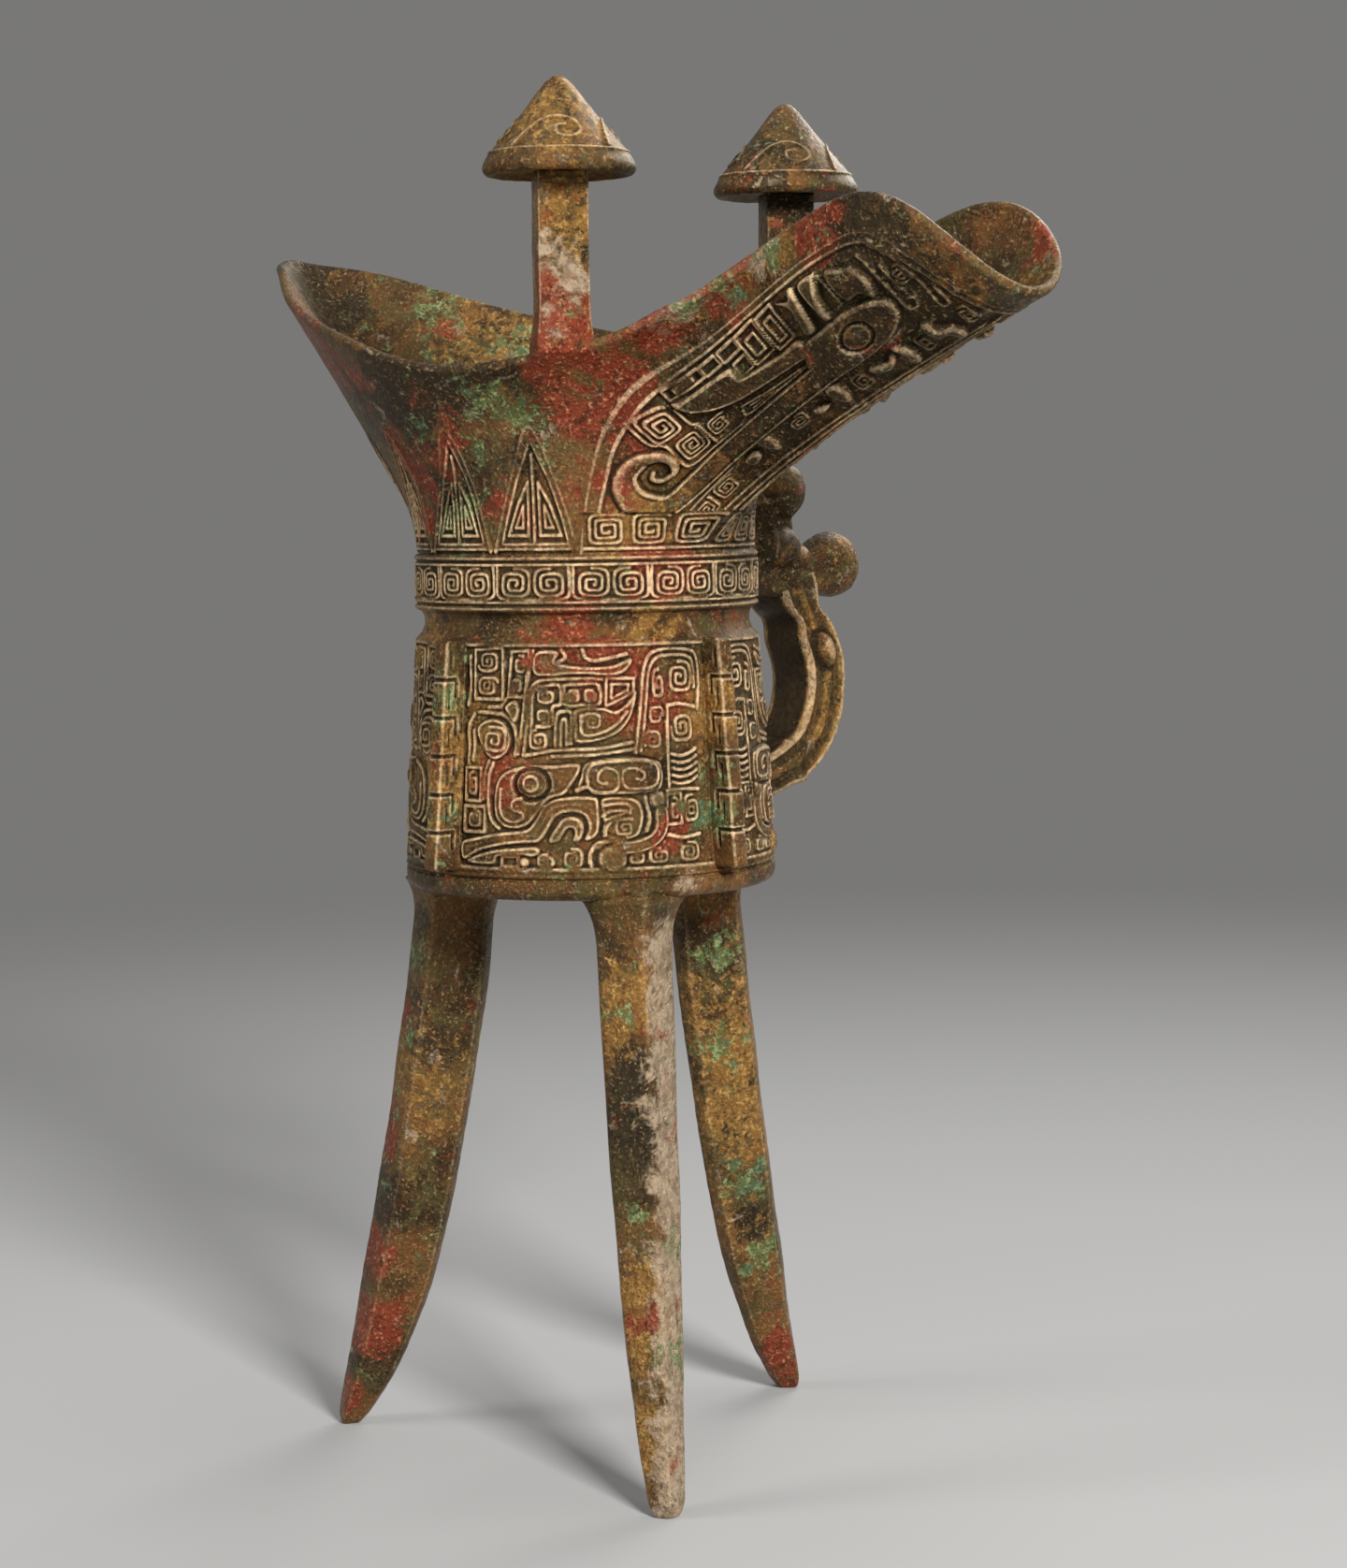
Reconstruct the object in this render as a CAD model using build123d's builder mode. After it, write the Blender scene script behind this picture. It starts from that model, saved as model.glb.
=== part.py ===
"""Bronze jue: a spouted wine vessel on three blade legs, with two capped posts and a beast handle.

Millimetres, +Z up. The pieces are modelled about the vessel's upright axis, with the spout along +X,
the tail along -X and the handle along +Y, and are then set down on the middle of their own footprint.
"""
import math
import os

from build123d import *

# Fits: the side clearance of every tenon, and the depth left free at its end
fit = 0.05
end_room = 0.2

# Lower vessel, from the underside of the floor upwards
wall = 2.6
floor = 4.0
base_radius = 30.2
base_round = 1.8
base_rim_height = 4.5
panel_height = 36.0
panel_top_radius = 27.9
neck_radius = 27.4
groove_depth = 0.8
groove_height = 4.5
band_stand = 0.5
band_height = 8.9
neck_shoulder = 0.4
inner_round = 3.0

# Flaring mouth: one row for each meridian of one half, from the tail tip to the lip of the spout.
# Each gives the bearing it leaves the neck at, its rim point, the rim's height over the neck,
# and the power of its curve: 1 goes straight up to the rim, 2 stays upright and then bends out.
meridians = [
    (180, -76.3, 0.0, 50.6, 0.90),
    (171, -73.8, 4.8, 50.0, 0.90),
    (163, -66.5, 10.6, 48.6, 0.95),
    (155, -54.0, 19.4, 44.2, 1.05),
    (146, -36.2, 29.7, 38.9, 1.25),
    (131, -14.5, 38.0, 33.6, 1.60),
    (108, 3.5, 35.6, 28.9, 1.90),
    (84, 23.1, 27.4, 30.8, 2.15),
    (66, 38.2, 21.1, 35.1, 2.35),
    (46, 58.1, 15.0, 46.7, 2.35),
    (28, 78.9, 15.1, 51.3, 2.15),
    (9, 91.2, 10.3, 41.3, 1.50),
    (0, 94.6, 0.0, 36.6, 1.30),
]
post_bearing = 84
over_rim_growth = 0.8
section_levels = [4.0, 10.0, 17.0, 24.0, 32.0, 40.0, 48.0, 55.0]
neck_overlap = 1.0

# Legs: the bearings of root and foot, and for each section its height as a share of the leg,
# the radius of its outer ridge, the radius of its inner edge and its width across the corners
leg_height = 93.8
leg_bearings = {"leg_front": (-28, -30), "leg_handle": (83, 89), "leg_tail": (210, 210)}
leg_stations = [
    (0.00, 46.9, 42.4, 5.6),
    (0.05, 46.2, 39.2, 6.6),
    (0.13, 44.7, 34.8, 8.0),
    (0.27, 42.2, 29.4, 9.8),
    (0.43, 39.2, 25.4, 11.1),
    (0.60, 36.2, 22.2, 12.0),
    (0.80, 33.2, 18.9, 12.8),
    (1.00, 30.4, 16.8, 13.4),
]
leg_corner_share = 0.4
leg_inner_width = 0.3
leg_collar_height = 4.5
leg_collar_spread = 2.2
leg_tenon_length = 6.0
leg_tenon_width = 5.0
leg_tenon_height = 2.0

# Posts on the rim and their caps
post_side = 7.8
post_turn = -35
post_inset = 2.7
post_heights = {"post_near": 32.6, "post_far": 31.8}
post_notch_depth = 6.0
post_edge_round = 0.6
post_tenon_side = 5.0
post_tenon_height = 5.0
cap_radius = 11.7
cap_lip = 2.6
cap_height = 15.0
cap_lip_round = 0.85
cap_tip_radius = 1.2

# Notched flanges on the lower vessel
flange_bearings = {"flange_front": -90, "flange_spout": 0, "flange_tail": 180}
flange_thickness = 3.0
flange_root = 0.8
flange_foot_radius = 34.8
flange_top_radius = 31.5
flange_segments = 6
flange_notch_height = 1.1
flange_notch_depth = 0.9

# Handle: the wall pads it sits on, the strap, and the beast head at its top
pad_reach = 31.0
pad_width = 10.4
pad_height = 13.0
pad_rise = 4.6
foot_pad_height = 8.0
strap_width = 10.0
strap_round = 1.2
strap_foot_thickness = 7.0
strap_thickness = 8.8
strap_rise = 9.6
strap_height = 30.5
strap_reach = 21.6
peg_side = 4.0
peg_length = 3.0
head_width = 10.0
head_height = 23.0
brow_reach = 13.4
brow_height = 11.0
brow_slope = 3.0
jaw_reach = 4.6
jaw_drop = 1.5
nose_reach = 19.6
nose_height = 7.6
crown_drop = 2.5
ear_radius = 4.8
ear_sink = 1.6
cheek_radius = 4.4
cheek_rise = 9.6
cheek_sink = 1.4
lump_inset = 1.0
knob_radius = 4.7
knob_neck_radius = 3.8
knob_length = 13.6
knob_rise = 3.8
knob_tilt = 16

# Heights that follow from the sizes above
floor_top = leg_height + floor
panel_bottom = leg_height + base_rim_height
panel_top = panel_bottom + panel_height
band_bottom = panel_top + groove_height
band_top = band_bottom + band_height
groove_radius = neck_radius - groove_depth
band_radius = neck_radius + band_stand
bore_radius = neck_radius - wall - neck_shoulder
panel_lean = (base_radius - panel_top_radius) / panel_height


def polar_plane(bearing, height, radius=0.0):
    """Level plane at a height whose local X points outwards along a bearing."""
    turn = math.radians(bearing)
    outward = (math.cos(turn), math.sin(turn), 0)
    origin = (radius * outward[0], radius * outward[1], height)
    return Plane(origin=origin, x_dir=outward, z_dir=(0, 0, 1))


def upright_plane(bearing):
    """Upright plane through the axis: local X runs outwards along a bearing, local Y is height."""
    turn = math.radians(bearing)
    outward = (math.cos(turn), math.sin(turn), 0)
    return Plane(origin=(0, 0, 0), x_dir=outward, z_dir=(outward[1], -outward[0], 0))


def wall_plane(height):
    """Upright plane on the faces of the handle's pads at a height, looking in at the vessel."""
    return Plane(origin=(0, pad_reach, height), x_dir=(1, 0, 0), z_dir=(0, -1, 0))


def flare_share(level, rim_height, power):
    """Share of the way from neck to rim at a level over the neck, carried on gently past the rim."""
    climb = max(level, 0.0) / rim_height
    if climb <= 1.0:
        return climb ** power
    return 1.0 + over_rim_growth * (climb - 1.0)


def flare_point(row, level, radius):
    """Plan position of one meridian at a level over the neck."""
    bearing, rim_x, rim_y, rim_height, power = row
    turn = math.radians(bearing)
    start = Vector(radius * math.cos(turn), radius * math.sin(turn))
    return start + (Vector(rim_x, rim_y) - start) * flare_share(level, rim_height, power)


def flare_section(level, radius):
    """Outer section of the flare at a level: both halves, anticlockwise from the lip of the spout."""
    half = [flare_point(row, level, radius) for row in reversed(meridians)]
    return half + [Vector(point.X, -point.Y) for point in half[-2:0:-1]]


def inner_section(level, radius):
    """The same section moved in by the wall, more where the wall leans out and so is cut aslant."""
    outer = flare_section(level, radius)
    step = 1.0
    above = flare_section(level + step, radius)
    count = len(outer)
    inner = []
    for index, point in enumerate(outer):
        along = (outer[(index + 1) % count] - outer[index - 1]).normalized()
        outward = Vector(along.Y, -along.X)
        lean = (above[index] - point).dot(outward) / step
        inner.append(point - outward * wall * math.sqrt(1.0 + lean * lean))
    return inner


loft_levels = [-neck_overlap] + section_levels
post_row = [row[0] for row in meridians].index(post_bearing)
rim_x, rim_y, rim_rise = meridians[post_row][1:4]
rim_along = (Vector(*meridians[post_row + 1][1:3]) - Vector(*meridians[post_row - 1][1:3])).normalized()
post_x = rim_x + rim_along.Y * post_inset
post_y = rim_y - rim_along.X * post_inset
post_foot = band_top + rim_rise - post_notch_depth
posts = {"post_near": (post_x, -post_y), "post_far": (post_x, post_y)}
caps = {"cap_near": "post_near", "cap_far": "post_far"}
pad_bottom = band_top - pad_rise
head_peg_height = pad_bottom + pad_height / 2
strap_foot = panel_bottom + strap_rise
strap_top = strap_foot + strap_height
crown = strap_top + head_height

# Vessel: turned lower body, lofted mouth, the handle's pads with flat seats, cavity, rim cut,
# then the pockets, notches and slots of the other pieces
with BuildPart() as vessel_body:
    with BuildSketch(Plane.XZ):
        with BuildLine():
            Polyline(
                (0, leg_height),
                (base_radius, leg_height),
                (base_radius, panel_bottom),
                (panel_top_radius, panel_top),
                (groove_radius, panel_top),
                (groove_radius, band_bottom),
                (band_radius, band_bottom),
                (band_radius, band_top),
                (0, band_top),
                close=True,
            )
        make_face()
    revolve(axis=Axis.Z)
    fillet(vessel_body.edges().group_by(Axis.Z)[0], base_round)
    for level in loft_levels:
        with BuildSketch(Plane.XY.offset(band_top + level)):
            with BuildLine():
                Spline(*flare_section(level, neck_radius), periodic=True)
            make_face()
    loft()
    foot_pad_half = foot_pad_height / 2
    for height, pad, seat_bottom, seat_top in (
        (head_peg_height, pad_height, pad_bottom - jaw_drop, crown),
        (strap_foot, foot_pad_height, strap_foot - foot_pad_half, strap_foot + foot_pad_half),
    ):
        with Locations((0, (pad_reach + groove_radius) / 2, height)):
            Box(pad_width, pad_reach - groove_radius, pad)
        with Locations((0, pad_reach + strap_reach / 2, (seat_bottom + seat_top) / 2)):
            Box(pad_width, strap_reach, seat_top - seat_bottom, mode=Mode.SUBTRACT)
    with BuildSketch(Plane.XZ):
        with BuildLine():
            Polyline(
                (0, floor_top),
                (base_radius - wall, floor_top),
                (bore_radius, panel_top),
                (bore_radius, band_top),
                (0, band_top),
                close=True,
            )
        make_face()
        fillet(vertices().sort_by(Axis.X)[-1], inner_round)
    revolve(axis=Axis.Z, mode=Mode.SUBTRACT)
    for level in loft_levels:
        with BuildSketch(Plane.XY.offset(band_top + level)):
            with BuildLine():
                Spline(*inner_section(level, neck_radius), periodic=True)
            make_face()
    loft(mode=Mode.SUBTRACT)
    rim_line = [(row[1], band_top + row[3]) for row in meridians]
    highest = band_top + section_levels[-1] + wall
    outmost = 2 * rim_line[-1][0]
    with BuildSketch(Plane.XZ):
        with BuildLine():
            Spline(*rim_line)
            Polyline(
                rim_line[-1],
                (outmost, rim_line[-1][1] - wall),
                (outmost, highest),
                (-outmost, highest),
                (-outmost, rim_line[0][1]),
                rim_line[0],
            )
        make_face()
    extrude(amount=outmost, both=True, mode=Mode.SUBTRACT)
    for root, _ in leg_bearings.values():
        middle = (leg_stations[-1][1] + leg_stations[-1][2]) / 2
        with BuildSketch(polar_plane(root, leg_height, middle)):
            Rectangle(leg_tenon_length + 2 * fit, leg_tenon_width + 2 * fit)
        extrude(amount=leg_tenon_height + end_room, mode=Mode.SUBTRACT)
    for x, y in posts.values():
        with BuildSketch(Plane(origin=(x, y, post_foot), x_dir=Vector(1, 0).rotate(Axis.Z, post_turn))):
            Rectangle(post_side + 2 * fit, post_side + 2 * fit)
        extrude(amount=post_notch_depth + wall, mode=Mode.SUBTRACT)
    for bearing in flange_bearings.values():
        with BuildSketch(upright_plane(bearing)):
            with BuildLine():
                Polyline(
                    (base_radius - flange_root + panel_lean * fit, panel_bottom - fit),
                    (base_radius + flange_root, panel_bottom - fit),
                    (base_radius + flange_root, panel_top + fit),
                    (panel_top_radius - flange_root - panel_lean * fit, panel_top + fit),
                    close=True,
                )
            make_face()
        extrude(amount=flange_thickness / 2 + fit, both=True, mode=Mode.SUBTRACT)
    for height in (head_peg_height, strap_foot):
        with BuildSketch(wall_plane(height)):
            Rectangle(peg_side + 2 * fit, peg_side + 2 * fit)
        extrude(amount=peg_length + end_room, mode=Mode.SUBTRACT)


def leg_outline(station, spread=0.0):
    """Kite of one leg section: outer ridge, two corners and a narrow inner edge."""
    ridge, inner, width = station[1:]
    corner = ridge - leg_corner_share * (ridge - inner)
    half = width / 2 + spread
    edge = width * leg_inner_width / 2 + spread
    return [(ridge, 0), (corner, half), (inner - spread, edge), (inner - spread, -edge), (corner, -half)]


def leg(root, foot):
    """One blade leg, curved out to a small flat foot, with a collar and a tenon under the floor."""
    with BuildPart() as piece:
        for station in leg_stations:
            bearing = foot + (root - foot) * station[0]
            with BuildSketch(polar_plane(bearing, station[0] * leg_height)):
                Polygon(*leg_outline(station), align=None)
        loft()
        collar = leg_stations[-1]
        for height, spread in ((leg_height - leg_collar_height, 0.0), (leg_height, leg_collar_spread)):
            with BuildSketch(polar_plane(root, height)):
                Polygon(*leg_outline(collar, spread), align=None)
        loft(ruled=True)
        middle = (collar[1] + collar[2]) / 2
        with BuildSketch(polar_plane(root, leg_height, middle)):
            Rectangle(leg_tenon_length, leg_tenon_width)
        extrude(amount=leg_tenon_height)
    return piece.part


def post(x, y, height):
    """Square post standing in the rim's notch, with a tenon for its cap."""
    turned = Vector(1, 0).rotate(Axis.Z, post_turn)
    with BuildPart() as piece:
        with BuildSketch(Plane(origin=(x, y, post_foot), x_dir=turned)):
            Rectangle(post_side, post_side)
        extrude(amount=height)
        fillet(piece.edges().filter_by(Axis.Z), post_edge_round)
        with BuildSketch(Plane(origin=(x, y, post_foot + height), x_dir=turned)):
            Rectangle(post_tenon_side, post_tenon_side)
        extrude(amount=post_tenon_height)
    return piece.part


def cap(x, y, seat):
    """Conical cap with a rounded lip and tip, and a square socket for the post's tenon."""
    turned = Vector(1, 0).rotate(Axis.Z, post_turn)
    with BuildPart() as piece:
        with BuildSketch(Plane(origin=(x, y, seat), x_dir=(1, 0, 0), z_dir=(0, -1, 0))):
            with BuildLine():
                flank_rise = (cap_height - cap_lip) / (cap_radius - cap_tip_radius)
                shoulder = (2 * cap_tip_radius, cap_height - cap_tip_radius * flank_rise)
                Polyline((0, cap_height), (0, 0), (cap_radius, 0), (cap_radius, cap_lip), shoulder)
                Bezier(shoulder, (cap_tip_radius, cap_height), (0, cap_height))
            make_face()
        revolve(axis=Axis((x, y, seat), (0, 0, 1)))
        fillet(piece.edges().group_by(Axis.Z)[:2], cap_lip_round)
        with BuildSketch(Plane(origin=(x, y, seat), x_dir=turned)):
            Rectangle(post_tenon_side + 2 * fit, post_tenon_side + 2 * fit)
        extrude(amount=post_tenon_height + end_room, mode=Mode.SUBTRACT)
    return piece.part


def flange(bearing):
    """Upright flange let into the wall, its outer edge notched into short lengths."""
    pitch = panel_height / flange_segments
    with BuildPart() as piece:
        with BuildSketch(upright_plane(bearing)):
            with BuildLine():
                Polyline(
                    (base_radius - flange_root, panel_bottom),
                    (flange_foot_radius, panel_bottom),
                    (flange_top_radius, panel_top),
                    (panel_top_radius - flange_root, panel_top),
                    close=True,
                )
            make_face()
            for notch in range(1, flange_segments):
                edge = flange_foot_radius + (flange_top_radius - flange_foot_radius) * notch / flange_segments
                with Locations((edge, panel_bottom + notch * pitch)):
                    Rectangle(2 * flange_notch_depth, flange_notch_height, mode=Mode.SUBTRACT)
        extrude(amount=flange_thickness / 2, both=True)
    return piece.part


# Handle strap: its middle line, as shares of its reach and height, with the thickness at each point
strap_line = [
    (0.00, 0.00, strap_foot_thickness),
    (0.40, 0.03, strap_foot_thickness),
    (0.76, 0.15, (strap_foot_thickness + strap_thickness) / 2),
    (0.96, 0.35, strap_thickness),
    (1.00, 0.60, strap_thickness),
    (0.88, 0.82, strap_thickness),
    (0.73, 1.00, strap_thickness),
]


def strap_side(sign):
    """One side of the strap, half its thickness to the left (1) or right (-1) of the middle line."""
    spots = [Vector(pad_reach + reach * strap_reach, strap_foot + rise * strap_height)
             for reach, rise, thickness in strap_line]
    side = []
    for index, spot in enumerate(spots):
        before = spots[max(index - 1, 0)]
        after = spots[min(index + 1, len(spots) - 1)]
        along = (after - before).normalized()
        if index == 0:
            along = Vector(1, 0)
        if index == len(spots) - 1:
            along = Vector(0, 1)
        side.append(spot + Vector(-along.Y, along.X) * sign * strap_line[index][2] / 2)
    return side


with BuildPart() as handle_loop:
    with BuildSketch(Plane.YZ):
        with BuildLine():
            inner_line = Spline(*strap_side(1), tangents=((1, 0), (0, 1)))
            outer_line = Spline(*strap_side(-1), tangents=((1, 0), (0, 1)))
            Line(inner_line @ 0, outer_line @ 0)
            Line(inner_line @ 1, outer_line @ 1)
        make_face()
    extrude(amount=strap_width / 2, both=True)
    long_edges = handle_loop.edges().filter_by(GeomType.BSPLINE)
    fillet(long_edges, strap_round)
    with BuildSketch(wall_plane(strap_foot)):
        Rectangle(peg_side, peg_side)
    extrude(amount=peg_length)
    strap_end = pad_reach + strap_line[-1][0] * strap_reach
    with BuildSketch(Plane.XY.offset(strap_top)):
        with Locations((0, strap_end)):
            Rectangle(peg_side, peg_side)
    extrude(amount=peg_length)

with BuildPart() as handle_head:
    brow = pad_reach + brow_reach
    with BuildSketch(Plane.YZ):
        with BuildLine():
            Polyline(
                (pad_reach, pad_bottom),
                (pad_reach + jaw_reach, pad_bottom - jaw_drop),
                (strap_end - strap_thickness / 2, strap_top),
                (strap_end + strap_thickness / 2, strap_top),
                (pad_reach + nose_reach, strap_top + nose_height),
                (brow, strap_top + brow_height),
                (brow, crown - brow_slope),
                (brow - brow_slope, crown),
                (pad_reach, crown - crown_drop),
                close=True,
            )
        make_face()
    extrude(amount=head_width / 2, both=True)
    for side in (-1, 1):
        with Locations((side * (head_width / 2 - lump_inset), brow - ear_sink, crown - ear_radius)):
            Sphere(ear_radius)
        with Locations((side * (head_width / 2 - lump_inset), brow - cheek_sink, strap_top + cheek_rise)):
            Sphere(cheek_radius)
    knob_base = Plane(
        origin=(0, strap_end, strap_top + knob_rise),
        x_dir=(1, 0, 0),
        z_dir=(0, math.cos(math.radians(knob_tilt)), math.sin(math.radians(knob_tilt))),
    )
    with BuildSketch(knob_base):
        Circle(knob_neck_radius)
    with BuildSketch(knob_base.offset(knob_length)):
        Circle(knob_radius)
    loft()
    with BuildSketch(wall_plane(head_peg_height)):
        Rectangle(peg_side, peg_side)
    extrude(amount=peg_length)
    with BuildSketch(Plane.XY.offset(strap_top)):
        with Locations((0, strap_end)):
            Rectangle(peg_side + 2 * fit, peg_side + 2 * fit)
    extrude(amount=peg_length + end_room, mode=Mode.SUBTRACT)

pieces = {"vessel_body": vessel_body.part, "handle_loop": handle_loop.part, "handle_head": handle_head.part}
for name, (root, foot) in leg_bearings.items():
    pieces[name] = leg(root, foot)
for name, spot in posts.items():
    pieces[name] = post(*spot, post_heights[name])
for name, carrier in caps.items():
    pieces[name] = cap(*posts[carrier], post_foot + post_heights[carrier])
for name, bearing in flange_bearings.items():
    pieces[name] = flange(bearing)

# The origin is under the middle of the whole vessel, on the surface that it stands on
boxes = [piece.bounding_box() for piece in pieces.values()]
middle_x = (min(box.min.X for box in boxes) + max(box.max.X for box in boxes)) / 2
middle_y = (min(box.min.Y for box in boxes) + max(box.max.Y for box in boxes)) / 2

os.makedirs("parts", exist_ok=True)
for name, piece in pieces.items():
    placed = Pos(-middle_x, -middle_y, 0) * piece
    placed.label = name
    export_step(placed, f"parts/{name}.step")
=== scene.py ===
"""Looks of the bronze jue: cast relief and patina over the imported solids.

Shapes are worked out in millimetres about the vessel's upright axis, with the spout along +X and the handle
along +Y, and are then placed in the row frame in metres.
"""
import math

import bpy
import numpy as np
from mathutils import Matrix, Vector


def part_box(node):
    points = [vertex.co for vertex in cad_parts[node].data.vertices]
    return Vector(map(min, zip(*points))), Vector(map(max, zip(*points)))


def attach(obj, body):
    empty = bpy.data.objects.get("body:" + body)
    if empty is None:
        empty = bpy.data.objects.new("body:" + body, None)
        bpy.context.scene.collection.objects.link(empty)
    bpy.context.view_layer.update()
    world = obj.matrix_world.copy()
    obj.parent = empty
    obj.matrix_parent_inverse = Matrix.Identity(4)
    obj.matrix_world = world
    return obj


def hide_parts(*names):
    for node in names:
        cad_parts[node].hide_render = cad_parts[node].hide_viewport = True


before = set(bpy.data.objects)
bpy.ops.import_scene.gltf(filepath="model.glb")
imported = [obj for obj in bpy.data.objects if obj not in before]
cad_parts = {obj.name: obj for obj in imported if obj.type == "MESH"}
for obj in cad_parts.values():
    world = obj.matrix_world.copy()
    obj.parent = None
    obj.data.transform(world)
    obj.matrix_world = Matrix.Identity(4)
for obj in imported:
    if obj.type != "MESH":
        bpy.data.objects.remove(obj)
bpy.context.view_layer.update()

# The vessel's axis in the row frame, from the flanges that stand on it
axis_x = (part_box("flange_front")[0][0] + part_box("flange_front")[1][0]) / 2
axis_y = (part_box("flange_spout")[0][1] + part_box("flange_spout")[1][1]) / 2

# Heights and radii of the vessel, as in the solids
leg_height = 93.8
floor_top = 97.8
panel_bottom = 98.3
panel_top = 134.3
band_bottom = 138.8
band_top = 147.7
base_radius = 30.2
panel_top_radius = 27.9
groove_radius = 26.6
band_radius = 27.9
neck_radius = 27.4
bore_radius = 24.4
wall = 2.6

# Meridians of the mouth from the lip of the spout to the tip of the tail: bearing at the neck, rim point,
# rim height over the neck, and the power of the curve
meridians = [
    (0, 94.6, 0.0, 36.6, 1.30),
    (9, 91.2, 10.3, 41.3, 1.50),
    (28, 78.9, 15.1, 51.3, 2.15),
    (46, 58.1, 15.0, 46.7, 2.35),
    (66, 38.2, 21.1, 35.1, 2.35),
    (84, 23.1, 27.4, 30.8, 2.15),
    (108, 3.5, 35.6, 28.9, 1.90),
    (131, -14.5, 38.0, 33.6, 1.60),
    (146, -36.2, 29.7, 38.9, 1.25),
    (155, -54.0, 19.4, 44.2, 1.05),
    (163, -66.5, 10.6, 48.6, 0.95),
    (171, -73.8, 4.8, 50.0, 0.90),
    (180, -76.3, 0.0, 50.6, 0.90),
]
post_knot = 5
over_rim_growth = 0.8
over_rim_bend = 0.12
spout_limit = (115.0, 53.0)

# Relief: cell of the drawing grid, steepness of the sides of a line, slope of the sides of the sunk ground,
# its depth, the heights of a thread and of a flat shape, and how far a shape reaches past its outline
cell = 0.1
steepness = 2.6
ground_slope = 1.5
ground = -0.32
thread = 0.08
plateau = 0.22
area_margin = 0.5

# Value of the wear and shade mark on a plain surface: edges have more, grooves less, and the inner face of
# the handle strap none, as painted shade
plain_worn = 0.5


def place(points):
    """Row frame, in metres, of points in millimetres about the vessel's axis."""
    return (points + np.array([axis_x * 1000, axis_y * 1000, 0.0])) / 1000


def smooth_step(value, low, high):
    """0 below low, 1 above high, with a soft change between."""
    share = np.clip((value - low) / (high - low), 0, 1)
    return share * share * (3 - 2 * share)


def bell(value, middle, width):
    """1 at the middle, falling away to 0 on both sides."""
    return np.exp(-((value - middle) / width) ** 2)


def unit(vectors):
    """Vectors brought to a length of 1."""
    return vectors / np.maximum(np.linalg.norm(vectors, axis=-1, keepdims=True), 1e-9)


def turned(x, y, angle):
    """Both coordinates of points after a turn about the origin."""
    return x * np.cos(angle) - y * np.sin(angle), x * np.sin(angle) + y * np.cos(angle)


def upright(radius, angle, height):
    """Points at a radius, angle and height about an upright axis."""
    return np.stack(np.broadcast_arrays(radius * np.cos(angle), radius * np.sin(angle), height), -1)


def travelled(path):
    """Distance along a path at each of its points."""
    return np.concatenate([[0], np.cumsum(np.linalg.norm(np.diff(path, axis=0), axis=1))])


def resample(path, step):
    """Points along a path at about equal steps."""
    path = np.array(path, float)
    along = travelled(path)
    spots = np.linspace(0, along[-1], max(int(along[-1] / step), 2) + 1)
    return np.stack([np.interp(spots, along, path[:, k]) for k in range(path.shape[1])], -1)


def curve(points, closed=False, steps=7):
    """Smooth line through the points."""
    spots = np.array(points, float)
    count = len(spots)
    if closed:
        ring = np.vstack([spots[-1:], spots, spots[:2]])
        spans = count
    else:
        ring = np.vstack([2 * spots[:1] - spots[1:2], spots, 2 * spots[-1:] - spots[-2:-1]])
        spans = count - 1
    share = np.linspace(0, 1, steps, endpoint=False)[:, None]
    line = []
    for index in range(spans):
        a, b, c, d = ring[index:index + 4]
        line.append(0.5 * (2 * b + (c - a) * share + (2 * a - 5 * b + 4 * c - d) * share ** 2
                           + (3 * b - a - 3 * c + d) * share ** 3))
    line.append(ring[spans + 1][None])
    return np.vstack(line)


def spiral(x, y, half_width, half_height, turns, start, way, square=0.6):
    """Rounded square spiral, from its outer end in to its middle."""
    points_per_turn = 26
    shrink = 0.86
    turn = np.linspace(0, turns, int(turns * points_per_turn))
    angle = np.radians(start) + way * turn * 2 * math.pi
    size = 1 - shrink * turn / turns
    across = np.sign(np.cos(angle)) * np.abs(np.cos(angle)) ** square
    up = np.sign(np.sin(angle)) * np.abs(np.sin(angle)) ** square
    return np.stack([x + half_width * size * across, y + half_height * size * up], -1)


def oval(x, y, half_width, half_height, count=28):
    """Closed oval outline."""
    angle = np.linspace(0, 2 * math.pi, count + 1)
    return np.stack([x + half_width * np.cos(angle), y + half_height * np.sin(angle)], -1)


def box_line(left, low, right, high):
    """Corners of a box, one after another."""
    return [(left, low), (right, low), (right, high), (left, high)]


def drawing(left, right, low, high):
    """Empty relief drawing of a rectangle, in millimetres."""
    shape = (int((high - low) / cell) + 2, int((right - left) / cell) + 2)
    return {"left": left, "low": low, "height": np.zeros(shape)}


def window(sheet, line, margin):
    """Part of a drawing near a line, with the position of each of its cells."""
    corner = np.array([sheet["left"], sheet["low"]])
    size = sheet["height"].shape[::-1]
    first = np.clip((line.min(axis=0) - margin - corner) / cell, 0, size).astype(int)
    last = np.clip((line.max(axis=0) + margin - corner) / cell + 2, 0, size).astype(int)
    part = sheet["height"][first[1]:last[1], first[0]:last[0]]
    x = sheet["left"] + cell * np.arange(first[0], last[0])[None, :]
    y = sheet["low"] + cell * np.arange(first[1], last[1])[:, None]
    return part, x, y


def distance(x, y, start, end):
    """Distance of each cell from one straight piece of a line."""
    along = end - start
    length = max(along @ along, 1e-9)
    share = np.clip(((x - start[0]) * along[0] + (y - start[1]) * along[1]) / length, 0, 1)
    return np.hypot(x - start[0] - share * along[0], y - start[1] - share * along[1])


def sides(sheet, line, width, margin):
    """Cells near each straight piece of a line, and their distance from a stroke of that width."""
    spots = np.array(line, float)
    for start, end in zip(spots[:-1], spots[1:]):
        part, x, y = window(sheet, np.array([start, end]), width / 2 + margin)
        if part.size:
            yield part, np.maximum(distance(x, y, start, end) - width / 2, 0)


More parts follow.
